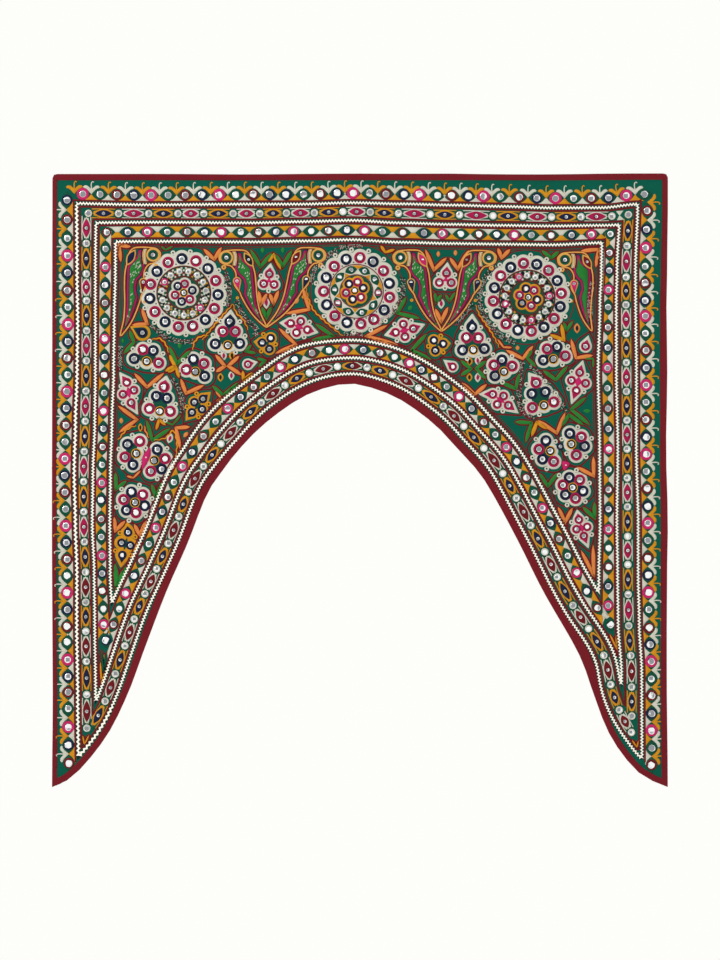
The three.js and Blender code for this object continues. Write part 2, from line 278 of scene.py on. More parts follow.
class Stock:
    """Vertices, faces and stitch coordinates gathered for one piece."""

    def __init__(self):
        self.points, self.faces, self.stitches, self.count = [], [], [], 0

    def add(self, points, faces, stitches):
        points = np.asarray(points, float)
        self.points.append(points)
        self.stitches.append(np.asarray(stitches, float))
        self.faces.extend([tuple(int(i) + self.count for i in face) for face in faces])
        self.count += len(points)

    def build(self, name, material, slot, replaces=()):
        """One object from all that was gathered, hung with the cloth."""
        name = name.replace(" ", "_")
        mesh = bpy.data.meshes.new(name)
        mesh.from_pydata(hang(np.vstack(self.points)).tolist(), [], self.faces)
        mesh.polygons.foreach_set("use_smooth", [True] * len(self.faces))
        layer = mesh.uv_layers.new(name="Stitches")
        corners = np.empty(len(mesh.loops), np.int32)
        mesh.loops.foreach_get("vertex_index", corners)
        stitches = np.vstack(self.stitches)[corners].astype(np.float32)
        layer.uv.foreach_set("vector", stitches.ravel())
        mesh.materials.append(material)
        piece = bpy.data.objects.new(name, mesh)
        bpy.context.scene.collection.objects.link(piece)
        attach(piece, "root")
        if replaces:
            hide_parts(*replaces)
        return piece


STOCKS = {}


def stock(name):
    """What is gathered so far for one piece."""
    return STOCKS.setdefault(name, Stock())


def across(path, closed=False):
    """The sideways direction at each point of a path, longer at its corners."""
    ahead = np.roll(path, -1, 0) - path
    behind = path - np.roll(path, 1, 0)
    if not closed:
        ahead[-1] = behind[-1]
        behind[0] = ahead[0]
    ahead, behind = unit(ahead), unit(behind)
    tangent = unit(ahead + behind)
    stretch = 1 / np.maximum((tangent * ahead).sum(axis=1, keepdims=True), 0.5)
    return np.column_stack((-tangent[:, 1], tangent[:, 0])) * stretch


def ribbon(name, path, profile, closed=False, rows=1.0, taper=None):
    """Sweeps a profile of (sideways, height) points along a path, as one closed body."""
    path = np.asarray(path, float)
    sideways = across(path, closed)
    count, sides = len(path), len(profile)
    widths = np.ones(count) if taper is None else taper
    along = np.concatenate(([0], np.cumsum(np.hypot(*np.diff(path, axis=0).T)))) / LINK
    shares = np.concatenate(([0], np.cumsum(np.hypot(*np.diff(profile, axis=0).T))))
    points, stitches = [], []
    for (offset, height), share in zip(profile, rows * shares / shares[-1]):
        places = path + sideways * (offset * widths)[:, None]
        points.append(np.column_stack((places, np.full(count, FACE + height))))
        stitches.append(np.column_stack((along, np.full(count, share))))
    points = np.stack(points, axis=1).reshape(-1, 3)
    stitches = np.stack(stitches, axis=1).reshape(-1, 2)
    faces = []
    for i in range(count if closed else count - 1):
        a, b = i * sides, (i + 1) % count * sides
        faces += [(a + k, b + k, b + (k + 1) % sides, a + (k + 1) % sides) for k in range(sides)]
    if not closed:
        faces.append(tuple(range(sides)))
        faces.append(tuple((count - 1) * sides + k for k in reversed(range(sides))))
    stock(name).add(points, faces, stitches)


def line(name, path, width, rise=0.8, closed=False, taper=None):
    """A line of chain stitch."""
    half = width / 2
    profile = ((-half, -0.05), (-half * 0.55, rise), (half * 0.55, rise), (half, -0.05))
    ribbon(name, path, profile, closed, rows=max(1, round(width / 1.5)), taper=taper)


def turned(a, b, c):
    """Three corner numbers and their places, as corners that run anticlockwise."""
    (number_a, (ax, az)), (number_b, (bx, bz)), (number_c, (cx, cz)) = a, b, c
    if (bx - ax) * (cz - az) - (bz - az) * (cx - ax) < 0:
        return number_a, number_c, number_b
    return number_a, number_b, number_c


def area(outline):
    """The area within an outline, below zero where it runs clockwise."""
    x, z = outline.T
    return 0.5 * float(np.sum(x * np.roll(z, -1) - np.roll(x, -1) * z))


def fill(name, outline, rise=0.55, angle=0.0, edge=0.45):
    """A patch of close stitching within an outline, with rounded edges."""
    outline = np.asarray(outline, float)
    if area(outline) < 0:
        outline = outline[::-1]
    count = len(outline)
    inner = outline + across(outline, True) * edge
    if np.ptp(outline, axis=0).max() > FILL_SIZE_WITH_GRID:
        grid = inside_grid(inner, FILL_GRID)
        joined = [Vector(p) for p in inner] + [Vector(p) for p in grid]
        inner, _, triangles = delaunay_2d_cdt(
            joined, [(i, (i + 1) % count) for i in range(count)], [], 1, 1e-6)[:3]
        inner = np.array([tuple(p) for p in inner])
        lower = np.vstack((outline, inner[count:]))
    else:
        triangles = tessellate_polygon([[Vector((x, z, 0)) for x, z in inner]])
        lower = outline
    low = np.column_stack((lower, np.full(len(lower), FACE - 0.05)))
    high = np.column_stack((inner, np.full(len(inner), FACE + rise)))
    turn = math.radians(angle)
    places = np.vstack((lower, inner))
    stitches = np.column_stack((places @ (math.cos(turn), math.sin(turn)) / LINK,
                                places @ (-math.sin(turn), math.cos(turn)) / SATIN_ROW))
    above = len(lower)
    faces = [(i, (i + 1) % count, (i + 1) % count + above, i + above) for i in range(count)]
    for corners in triangles:
        a, b, c = turned(*[(i, inner[i]) for i in corners])
        faces += [(a + above, b + above, c + above), (a, c, b)]
    stock(name).add(np.vstack((low, high)), faces, stitches)


def arc(centre, radius, start=0.0, sweep=360.0, sides=20):
    """Points clockwise from the top."""
    angles = np.radians(start + np.linspace(0, sweep, sides, endpoint=sweep < 360))
    return np.asarray(centre) + radius * np.column_stack((np.sin(angles), np.cos(angles)))


def ring(name, centre, inner, outer, rise=0.8, hold=0.0, start=0.0, sweep=360.0, sides=18):
    """A ring of stitches; with hold, its inner side climbs onto the glass."""
    middle = (inner + outer) / 2
    near, far = inner - middle, outer - middle
    profile = ((-far, -0.05), (-far, rise * 0.75), (-far * 0.5, rise), (-near * 0.5, rise + hold),
               (-near, rise * 0.75 + hold), (-near, hold - 0.05))
    path = arc(centre, middle, start, sweep, sides)
    ribbon(name, path[::-1], profile, sweep >= 360, rows=max(1, round((outer - inner) / 1.3)))


GLASS = random.Random(41)

# Left, right, lowest and highest, and the share of the mirrors there that lean and look white.
# The first row that holds a mirror counts.
WHITE_SHARES = (
    (-600, -400, -330, 9, 0.12),
    (-280, 340, -125, 9, 0.94),
    (-150, 250, -1100, 9, 0.9),
    (-600, 600, -1100, -680, 0.75),
    (-600, 600, -1100, 9, 0.25),
)
MIDDLE_DROP = 537
GLASS_SIDES = 14
GLASS_BACK = 0.25
GLASS_RIM = 1.1
GLASS_LEVELS = (0.4, 0.75, 1.0)


def white_share(x, z):
    """The share of mirrors at a place that lean and look white."""
    return next(share for left, right, low, high, share in WHITE_SHARES
                if left < x < right and low < z < high)


def glass(centre, radius, flat):
    """A small round of mirror: either nearly flat and leaning, or domed and facing forward."""
    x, z = centre
    if flat is None:
        flat = GLASS.random() < white_share(x, z)
    if flat:
        lean, dome = GLASS.uniform(0.14, 0.18), 0.015
    else:
        lean = GLASS.uniform(0.0, 0.05)
        dome = 0.07 if z > -90 and x < 200 else GLASS.uniform(0.08, 0.13)
    dome *= radius
    heading = GLASS.uniform(0, 2 * math.pi)
    slope = np.array((math.cos(heading), math.sin(heading))) * lean
    if flat and slope @ (x, z + MIDDLE_DROP) < 0:
        slope = -slope
    shape = arc((0, 0), radius, GLASS.uniform(0, 90), 360, GLASS_SIDES)
    shape *= np.array([1 + GLASS.uniform(-0.04, 0.04) for _ in range(GLASS_SIDES)])[:, None]
    points = [(0, 0, GLASS_RIM + dome)]
    for share in GLASS_LEVELS:
        height = GLASS_RIM + dome * (1 - share * share)
        points += [(px, pz, height + px * slope[0] + pz * slope[1]) for px, pz in shape * share]
    points += [(px, pz, GLASS_BACK) for px, pz in shape] + [(0, 0, GLASS_BACK)]
    last = len(points) - 1
    faces = []
    for i in range(GLASS_SIDES):
        j = (i + 1) % GLASS_SIDES
        faces.append((0, 1 + j, 1 + i))
        for level in range(len(GLASS_LEVELS)):
            a, b = 1 + level * GLASS_SIDES, 1 + (level + 1) * GLASS_SIDES
            faces.append((a + i, a + j, b + j, b + i))
        faces.append((last, last - GLASS_SIDES + i, last - GLASS_SIDES + j))
    points = np.array(points) + (x, z, FACE)
    stock("mirrors").add(points, faces, points[:, :2])


def mirror(centre, radius, rings, flat=None):
    """A round of glass held by rings of stitches, each a colour and its outer radius."""
    centre = np.asarray(centre, float).reshape(2)
    glass(centre, radius * 1.06, flat)
    inner, hold = radius * 0.94, 0.9
    for colour, outer in rings:
        ring(colour, centre, inner, outer, rise=1.15, hold=hold)
        inner, hold = outer - 0.3, 0.0


def nodes_of(name, roughness, metallic=0.0, sheen=0.0):
    """A new material, its nodes, its shader, and a short way to add a sum."""
    material = bpy.data.materials.new(name)
    material.use_nodes = True
    tree = material.node_tree
    shader = tree.nodes["Principled BSDF"]
    shader.inputs["Roughness"].default_value = roughness
    shader.inputs["Metallic"].default_value = metallic
    shader.inputs["Sheen Weight"].default_value = sheen
    shader.inputs["Specular IOR Level"].default_value = 0.12

    def math_node(operation, *values):
        node = tree.nodes.new("ShaderNodeMath")
        node.operation = operation
        for socket, value in zip(node.inputs, values):
            if isinstance(value, (int, float)):
                socket.default_value = value
            else:
                tree.links.new(value, socket)
        return node.outputs[0]

    return material, tree, shader, math_node


def bump(tree, shader, height, distance, strength=1.0):
    """Relief from a height."""
    node = tree.nodes.new("ShaderNodeBump")
    node.inputs["Distance"].default_value = distance
    node.inputs["Strength"].default_value = strength
    tree.links.new(height, node.inputs["Height"])
    tree.links.new(node.outputs[0], shader.inputs["Normal"])


def tinted(tree, shader, colour, painted_shade_and_mottle, low, high):
    """The colour, from darker to lighter as the painted shade and mottle go from 0 to 1."""
    ramp = tree.nodes.new("ShaderNodeMix")
    ramp.data_type = "RGBA"
    ramp.inputs[6].default_value = (*[c * low for c in colour], 1)
    ramp.inputs[7].default_value = (*[min(c * high, 1) for c in colour], 1)
    tree.links.new(painted_shade_and_mottle, ramp.inputs[0])
    tree.links.new(ramp.outputs[2], shader.inputs["Base Color"])


def noise(tree, scale, detail=2.0):
    """Random mottle over the object."""
    node = tree.nodes.new("ShaderNodeTexNoise")
    node.inputs["Scale"].default_value = scale
    node.inputs["Detail"].default_value = detail
    place_node = tree.nodes.new("ShaderNodeTexCoord")
    tree.links.new(place_node.outputs["Object"], node.inputs["Vector"])
    return node.outputs["Fac"]


def thread_material(colour_name):
    """Rows of chain stitch, whose links come from the stitch coordinates; the colour has painted
    shade in the gaps between links and rows, and random mottle.
    """
    colour, _ = COLOURS[colour_name]
    material, tree, shader, calc = nodes_of(f"{colour_name} cotton thread", 0.7, sheen=0.04)
    stitches = tree.nodes.new("ShaderNodeUVMap")
    stitches.uv_map = "Stitches"
    split = tree.nodes.new("ShaderNodeSeparateXYZ")
    tree.links.new(stitches.outputs[0], split.inputs[0])
    row = calc("FLOOR", split.outputs["Y"])
    across_row = calc("ABSOLUTE", calc("SUBTRACT", calc("FRACT", split.outputs["Y"]), 0.5))
    shifted = calc("ADD", split.outputs["X"], calc("MULTIPLY", row, 0.5))
    along_link = calc("ABSOLUTE", calc("SUBTRACT", calc("FRACT", shifted), 0.5))
    ridge = calc("SUBTRACT", 1.0, calc("MULTIPLY", across_row, across_row))
    ridge = calc("SUBTRACT", ridge, calc("MULTIPLY", 3.0, calc("MULTIPLY", across_row, across_row)))
    link = calc("SUBTRACT", 1.0, calc("MULTIPLY", 2.6, calc("MULTIPLY", along_link, along_link)))
    height = calc("MULTIPLY", ridge, link)
    # Painted shade: the colour is darker where the stitch height is low, between links and rows,
    # and lighter on the crests; the noise adds random mottle.
    painted_shade_and_mottle = calc("ADD", calc("MULTIPLY", height, 0.6), calc("MULTIPLY", noise(tree, 90), 0.7))
    tinted(tree, shader, colour, painted_shade_and_mottle, 0.55, 1.12)
    bump(tree, shader, height, 0.0003)
    return material


def cloth_material(name, colour, low=0.8, high=1.15):
    """Plain woven cotton, with painted shade between the woven threads and random mottle."""
    material, tree, shader, calc = nodes_of(name, 0.9, sheen=0.03)
    place_node = tree.nodes.new("ShaderNodeTexCoord")
    split = tree.nodes.new("ShaderNodeSeparateXYZ")
    tree.links.new(place_node.outputs["Object"], split.inputs[0])
    warp, weft = [calc("SINE", calc("MULTIPLY", split.outputs[axis], 9000.0)) for axis in "XZ"]
    weave = calc("ADD", 0.5, calc("MULTIPLY", 0.25, calc("ADD", warp, weft)))
    mottle = noise(tree, 14, 5)
    # Painted shade: the colour darkens where the weave is low, between the threads; the noise adds
    # random mottle.
    painted_shade_and_mottle = calc("ADD", calc("MULTIPLY", weave, 0.3), calc("MULTIPLY", mottle, 0.7))
    tinted(tree, shader, colour, painted_shade_and_mottle, low, high)
    bump(tree, shader, calc("ADD", weave, calc("MULTIPLY", noise(tree, 120), 0.8)), 0.0002)
    return material


def plain_material(name, colour, roughness):
    """One even colour."""
    material, _, shader, _ = nodes_of(name, roughness)
    shader.inputs["Base Color"].default_value = (*colour, 1)
    return material


def glass_material():
    """Old blown mirror: bright, with faint waves."""
    material, tree, shader, _ = nodes_of("mirror glass", 0.06, 1.0)
    shader.inputs["Base Color"].default_value = (0.93, 0.94, 0.96, 1)
    bump(tree, shader, noise(tree, 160, 1.0), 0.00025, 0.35)
    return material


def inside_grid(outline, step):
    """Grid places at least half a step inside an outline."""
    xs = np.arange(outline[:, 0].min(), outline[:, 0].max(), step)
    zs = np.arange(outline[:, 1].min(), outline[:, 1].max(), step)
    grid = np.stack(np.meshgrid(xs, zs), axis=-1).reshape(-1, 2)
    x, z = grid.T
    odd = np.zeros(len(grid), bool)
    for (ax, az), (bx, bz) in zip(outline, np.roll(outline, -1, 0)):
        crosses = (az > z) != (bz > z)
        rise = bz - az if bz != az else 1e-9
        odd ^= crosses & (x < ax + (z - az) / rise * (bx - ax))
    grid = grid[odd]
    clear = np.ones(len(grid), bool)
    for point in outline:
        clear &= ((grid - point) ** 2).sum(axis=1) > (step * 0.45) ** 2
    return grid[clear]


def sheet_layer(name, outline, low, high, step):
    """A flat sheet of even thickness within an outline, with a grid fine enough to hang."""
    if area(outline) < 0:
        outline = outline[::-1]
    count = len(outline)
    places = np.vstack((outline, inside_grid(outline, step)))
    edges = [(i, (i + 1) % count) for i in range(count)]
    found, _, triangles, *_ = delaunay_2d_cdt([Vector(p) for p in places], edges, [], 1, 1e-6)
    found = np.array([tuple(p) for p in found])
    total = len(found)
    points = np.vstack((np.column_stack((found, np.full(total, high))),
                        np.column_stack((found, np.full(total, low)))))
    faces, seen = [], []
    for corners in triangles:
        a, b, c = turned(*[(i, found[i]) for i in corners])
        faces += [(a, b, c), (a + total, c + total, b + total)]
        seen += [(a, b), (b, c), (c, a)]
    known = set(seen)
    rim = [(a, b) for a, b in seen if (b, a) not in known]
    faces += [(b, a, a + total, b + total) for a, b in rim]
    stock(name).add(points, faces, points[:, :2] / 2)


def lens(length, height):
    """Both edges of an eye shape, as one outline round its middle."""
    share = np.linspace(-1, 1, 13)
    half = height / 2 * (1 - share * share)
    upper = np.column_stack((share * length / 2, half))
    return np.vstack((upper, (upper * (1, -1))[::-1][1:-1]))


class Track:
    """The middle line of a border along one side, and places either side of it."""

    def __init__(self, side, middle, start, end):
        ats = np.linspace(start, end, 500)
        self.ats = ats
        self.line = place(side, ats, middle(side, ats))
        tangent = unit(np.gradient(self.line, axis=0))
        inward = 1 if side in ("left", "arch") else -1
        self.inward = np.column_stack((-tangent[:, 1], tangent[:, 0])) * inward
        self.along = np.concatenate(([0], np.cumsum(np.hypot(*np.diff(self.line, axis=0).T))))
        self.length = self.along[-1]

    def counted(self, stops):
        """Squares along the track for every number between the measured stops."""
        numbers, ats = np.array(stops, float).T
        each = np.interp(np.arange(numbers[0], numbers[-1] + 1), numbers, ats) * SQUARE
        return np.interp(each, self.ats, self.along) / SQUARE

    def lay(self, points):
        """Plan places from squares along the track and squares inward of it."""
        at, inset = np.asarray(points, float).reshape(-1, 2).T * SQUARE
        over = np.clip(at, 0, self.length)
        columns = []
        for k in (0, 1):
            base = np.interp(over, self.along, self.line[:, k])
            columns.append(base + np.interp(over, self.along, self.inward[:, k]) * inset)
            slide = (self.line[-1, k] - self.line[-2, k]) / (self.along[-1] - self.along[-2])
            columns[-1] = columns[-1] + (at - over) * slide
        return np.column_stack(columns)


def first_middle(side, at):
    """The middle of the border outside the outer braid."""
    return eased(side, "outer", at) - 16.8


def between(key, other):
    """The middle of the border between two braids."""
    def middle(side, at):
        return (eased(side, key, at) + eased(side, other, at)) / 2
    return middle


def wedge(name, track, first, second, inward, depth, eye):
    """The patch between two neighbouring eyes on one side of a border."""
    length, height = eye
    gap = max((second - first - length) / 2, 0)
    share = np.linspace(0, 1, 5)
    rise = height / 2 * (1 - share * share)
    right = np.column_stack((second - share * length / 2, rise))
    left = np.column_stack((first + share * length / 2, rise))[::-1]
    middle = [((first + second) / 2, 0.0)] if gap > 0.3 else []
    edge = [(first + (second - first) * s, depth) for s in (0.0, 0.33, 0.67, 1.0)]
    outline = np.vstack((edge, right, *([middle] if middle else []), left))
    keep = np.concatenate(([True], np.hypot(*np.diff(outline, axis=0).T) > 0.05))
    fill(name, track.lay(outline[keep] * (1, inward)), rise=0.5, angle=90)


CREST = ((0, 0.3), (2.2, -2.2), (4.2, -4.4), (6.0, -5.6), (8.0, -6.2), (8.5, -7.4), (6.8, -8.8),
         (4.2, -8.6), (2.4, -7.2), (1.2, -6.0), (0, -5.8))
STEM = ((0, -5.0), (-0.3, -9.2), (0.1, -11.6), (1.3, -12.6), (2.1, -11.6))


def crest(name, track, at):
    """A sprig between two eyes: two curved leaves and a hooked stem."""
    right = np.array(CREST)
    outline = np.vstack((right, (right * (-1, 1))[::-1][1:-1]))
    fill(name, track.lay(outline + (at, 0)), rise=0.6, angle=45)
    stem = smooth(track.lay(np.array(STEM) + (at, 0)), 1.6)
    line(name, stem, 2.6, 0.9, taper=np.linspace(1, 0.75, len(stem)))


def mirror_eye(track, at, colour, eye, radius, ring_radius):
    """A mirror in a green eye; the pink rings are wider."""
    fill("green", track.lay(lens(*eye) + (at, 0)), rise=0.4)
    outer = ring_radius * (1 if colour == "pink" else 0.88)
    mirror(track.lay([(at, 0)]), radius * SQUARE, ((colour, outer * SQUARE),))


FIRST_EYE = (17.0, 11.4)
HALF_PITCH = 8.5
FIRST_BORDER = (
    # side, measured stops (mirror number, squares along the side), colours
    ("top", ((0, -277.2), (9, -123.7), (12, -73.6), (13, -56.3), (14, -39.9), (15, -22.9),
             (16, -7.2), (17, 9.3), (18, 25.9), (19, 43.7), (20, 59.4), (21, 77.1), (22, 91.9),
             (23, 108.0), (24, 123.7), (25, 139.8), (26, 158.9), (27, 176.8), (28, 195.5),
             (29, 213.5), (30, 231.4), (31, 248.5), (32, 266.3), (33, 284.0)),
     ("pink", "green", "maroon", "navy")),
    ("left", ((0, 26.6), (1, 46.3), (2, 64.8), (3, 82.1), (4, 99.3), (5, 117.1), (6, 133.7),
              (7, 150.9), (8, 168.2), (9, 184.7), (24, 436.1), (25, 453.3), (26, 468.8),
              (27, 486.1), (28, 503.2), (29, 518.6), (30, 535.3), (31, 553.4), (32, 571.5),
              (33, 589.5)), ("navy", "maroon", "green", "pink")),
    ("right", ((0, 37.4), (1, 55.9), (2, 74.3), (3, 92.8), (4, 110.0), (5, 127.1), (6, 142.6),
               (23, 436.1), (24, 454.6), (25, 470.9), (26, 487.7), (27, 505.6), (28, 521.8),
               (29, 540.0), (30, 556.9), (31, 574.5), (32, 591.3)),
     ("maroon", "navy", "pink", "green")),
)


def work_first_border():
    """Mirrors in green eyes, with sprigs outside and wedges inside."""
    for side, stops, colours in FIRST_BORDER:
        track = Track(side, first_middle, (stops[0][1] - HALF_PITCH) * SQUARE,
                      (stops[-1][1] + HALF_PITCH) * SQUARE)
        ats = track.counted(stops)
        joints = np.concatenate(([ats[0] - HALF_PITCH], (ats[1:] + ats[:-1]) / 2))
        for j, at in enumerate(joints):
            if j or side != "left":
                crest(("yellow", "white")[j % 2], track, at)
            if j:
                wedge(("white", "yellow")[j % 2], track, ats[j - 1], ats[j], 1, 6.4, FIRST_EYE)
        for i, at in enumerate(ats):
            colour = "navy" if side == "top" and i == 12 else colours[i % 4]
            mirror_eye(track, at, colour, FIRST_EYE, 3.75, 6.0)


def star_cell(track, at, frame_colour, core, reach, half=False):
    """A pointed frame with an eye in it and a small mirror in the eye."""
    shape = [(-reach, -4.8), (-reach / 2, -5.0), (0, -5.0), (reach / 2, -5.0), (reach, -4.8),
             (reach - 2.4, -1.2), (reach - 1.2, 0), (reach - 2.4, 1.2), (reach, 4.8),
             (reach / 2, 5.0), (0, 5.0), (-reach / 2, 5.0), (-reach, 4.8), (2.4 - reach, 1.2),
             (1.2 - reach, 0), (2.4 - reach, -1.2)]
    if half:
        shape = [(max(x, 0.01), z * 1.03) for x, z in shape if x > 0 or abs(z) == 5.0]
        shape = [p for i, p in enumerate(shape) if p != shape[i - 1]]
    fill(frame_colour, track.lay(np.array(shape) + (at, 0)), rise=0.45 + 0.05 * half)
    for turn in ((1, 1), (1, -1), (-1, 1), (-1, -1))[:2 if half else 4]:
        sliver = np.array([(3.6, 4.1), (reach + 0.9, 3.9), (reach - 0.2, 1.3), (7.4, 2.6)]) * turn
        fill("green", track.lay(sliver + (at, 0)), rise=0.6, edge=0.3)
    eye = lens(2 * reach - 5.4, 8.0) if core != "navy" else lens(2 * reach - 7.0, 7.0)
    if half:
        eye = np.array([(x, z) for x, z in eye if x >= -0.01])
    fill(core, track.lay(eye + (at, 0)), rise=0.8 + 0.06 * half)
    ring_colour = "navy" if core == "navy" else "maroon"
    mirror(track.lay([(at, 0)]), 1.9 * SQUARE, ((ring_colour, 2.7 * SQUARE),), flat=False)


DOMED_UP_TO = 250
SECOND_BORDER = (
    # side, measured stops, cores, first mirror, and the star from which magenta turns maroon
    ("top", ((0, -271.6), (1, -241.4), (2, -211.3), (3, -182.1), (4, -156.2), (5, -126.9),
             (7, -73.6), (8, -45.6), (9, -17.0), (10, 10.3), (11, 38.4), (12, 70.1), (13, 99.6),
             (14, 133.0), (15, 163.0), (16, 191.6), (17, 221.0), (18, 251.9)),
     ("navy", "magenta"), 0, 99),
    ("left", ((0, 39.3), (1, 70.0), (2, 100.4), (3, 127.2), (4, 157.2), (13, 428.8), (14, 457.8),
              (15, 488.0), (16, 521.1), (17, 554.7)), ("magenta", "navy"), 1, 12),
    ("right", ((0, 42.5), (1, 72.4), (2, 103.6), (3, 131.4), (10, 333.4), (11, 362.9), (12, 391.1),
               (13, 420.9), (14, 452.3), (15, 482.1), (16, 513.6), (17, 542.6)),
     ("navy", "magenta"), 1, 15),
    ("arch", ((0, 72.9), (1, 107.4), (2, 137.9), (3, 167.7), (4, 195.9), (5, 223.0), (6, 249.6),
              (7, 277.7), (8, 307.7), (9, 333.1), (10, 358.9), (11, 386.6), (12, 413.8),
              (13, 440.4), (14, 467.7), (15, 491.3), (16, 516.1), (17, 539.0), (18, 563.1),
              (19, 588.2), (20, 616.9), (21, 642.5), (22, 672.6), (23, 700.6), (24, 727.6),
              (25, 758.3), (26, 787.5), (27, 816.1), (28, 849.6), (29, 877.2), (30, 905.0),
              (31, 934.1), (32, 961.2), (33, 990.6)), ("navy", "maroon"), 1, 99),
)


def star_mirror(track, at, flat=None):
    """A mirror between two stars."""
    mirror(track.lay([(at, 0)]), 3.0 * SQUARE, (("white", 3.7 * SQUARE),), flat)


def work_second_border():
    """Stars and mirrors by turns between the outer and the middle braid."""
    for side, stops, cores, first, dark_from in SECOND_BORDER:
        track = Track(side, between("outer", "middle"), stops[0][1] * SQUARE, stops[-1][1] * SQUARE)
        ats = track.counted(stops)
        for at in ats[first:]:
            star_mirror(track, at, None if at > DOMED_UP_TO else False)
        for i in range(len(ats) - 1):
            core = cores[(i + (side == "arch" and i > 16)) % 2]
            if core == "magenta" and i >= dark_from:
                core = "maroon"
            middle, reach = (ats[i] + ats[i + 1]) / 2, (ats[i + 1] - ats[i]) / 2 - 2.9
            star_cell(track, middle, "yellow" if core == "navy" else "white", core, reach)
            if side == "arch" and i == 16:
                star_cell(track, middle, "white", "maroon", reach, half=True)
    corner = Track("top", between("outer", "middle"), 251.3 * SQUARE, 268.4 * SQUARE)
    far = corner.length / SQUARE
    star_mirror(corner, far)
    fill("white", corner.lay([(5, -4.6), (far - 4.4, -4.6), (far / 2, 0), (far - 4.4, 4.6),
                              (5, 4.6), (far / 2 - 0.6, 0)]), rise=0.5)


THIRD_EYE = (17.2, 11.0)
THIRD_BORDER = (
    # side, measured stops, colours, first mirror, and the number it stops before
    ("top", ((0, -253.3), (1, -232.2), (2, -212.5), (3, -192.7), (4, -172.9), (5, -155.1),
             (6, -138.5), (7, -119.3), (10, -66.5), (11, -49.1), (12, -31.3), (13, -13.1),
             (14, 4.4), (15, 22.8), (16, 42.5), (17, 63.9), (18, 82.5), (19, 101.2), (20, 119.3),
             (21, 137.1), (22, 154.1), (23, 171.2), (24, 190.8), (25, 211.5), (26, 231.6),
             (27, 250.5)), ("maroon", "navy", "pink", "green"), 0, 28),
    ("left", ((0, 57.5), (14, 309.4), (15, 326.4), (16, 345.5), (17, 363.5), (18, 382.1),
              (19, 400.0), (20, 417.2), (21, 435.0), (22, 450.8), (23, 467.0)),
     ("maroon", "green", "pink", "navy"), 1, 23),
    ("right", ((0, 59.6), (1, 79.4), (2, 97.0), (3, 116.3), (4, 133.6), (13, 316.3), (14, 335.9),
               (15, 356.1), (16, 374.3), (17, 393.4), (18, 412.8), (19, 432.1), (20, 450.8)),
     ("green", "maroon", "navy", "pink"), 1, 20),
    ("arch", ((0, 166.2), (1, 183.5), (2, 200.4), (3, 216.5), (4, 235.2), (5, 251.0), (6, 268.9),
              (7, 288.1), (8, 306.3), (9, 321.7), (10, 335.5), (11, 348.9), (12, 363.9),
              (13, 382.1), (14, 398.8), (15, 414.5), (17, 443.7), (18, 458.5), (19, 472.3),
              (20, 484.8), (21, 499.0), (22, 512.1), (23, 522.7), (24, 534.2), (25, 546.2),
              (26, 559.0), (27, 571.8), (28, 582.0), (29, 594.5), (32, 635.2), (34, 670.5),
              (36, 698.5), (38, 731.4), (41, 782.2), (42, 801.2), (43, 821.7), (44, 844.1),
              (46, 883.5)), ("navy", "maroon", "green", "pink"), 1, 46),
)


def work_third_border():
    """Mirrors in green eyes between wedges of two colours."""
    for side, stops, colours, low, high in THIRD_BORDER:
        track = Track(side, between("middle", "inner"), stops[0][1] * SQUARE, stops[-1][1] * SQUARE)
        ats = track.counted(stops)
        for i in range(len(ats) - 1):
            eye = (min(ats[i + 1] - ats[i] - 0.4, THIRD_EYE[0]), THIRD_EYE[1])
            pair = ("white", "yellow") if (i + (side == "left")) % 2 == 0 else ("yellow", "white")
            wedge(pair[0], track, ats[i], ats[i + 1], -1, 5.6, eye)
            wedge(pair[1], track, ats[i], ats[i + 1], 1, 5.6, eye)
        pitch = np.gradient(ats)
        for i, at in enumerate(ats):
            if low <= i < high:
                eye = (min(pitch[i] - 0.4, THIRD_EYE[0]), THIRD_EYE[1])
                mirror_eye(track, at, colours[i % 4], eye, 3.4, 5.1)


def work_feet():
    """The shared mirrors and pointed leaves that close the borders in the two feet."""
    for square, colour in (((105.7, 640.6), "navy"), ((609.6, 624.2), "green")):
        at = chart(square)[0]
        fill("green", [at + p * (0.62, 1.0) for p in arc((0, 0), 7.6 * SQUARE, sides=16)], rise=0.6)
        mirror(at, 3.9 * SQUARE, ((colour, 5.0 * SQUARE),))
    fill("white", chart((109.2, 645.0), (112.6, 641.0), (107.8, 662.0), (105.6, 655.5)), rise=0.55)
    for colour, wide, first, apex, last in (
            ("green", 4.0, (101.2, 650.0), (103.4, 672.0), (106.6, 652.0)),
            ("yellow", 1.6, (102.2, 653.6), (102.9, 664.4), (103.8, 653.6)),
            ("yellow", 2.2, (99.8, 661.2), (101.0, 683.0), (105.8, 661.6)),
            ("yellow", 2.0, (82.1, 735.2), (84.0, 744.6), (88.8, 734.6)),
            ("yellow", 2.2, (609.0, 633.8), (616.4, 649.1), (615.3, 633.8)),
            ("yellow", 2.0, (631.2, 739.7), (636.3, 747.3), (638.2, 740.2))):
        chevron(colour, first, apex, last, width=wide)


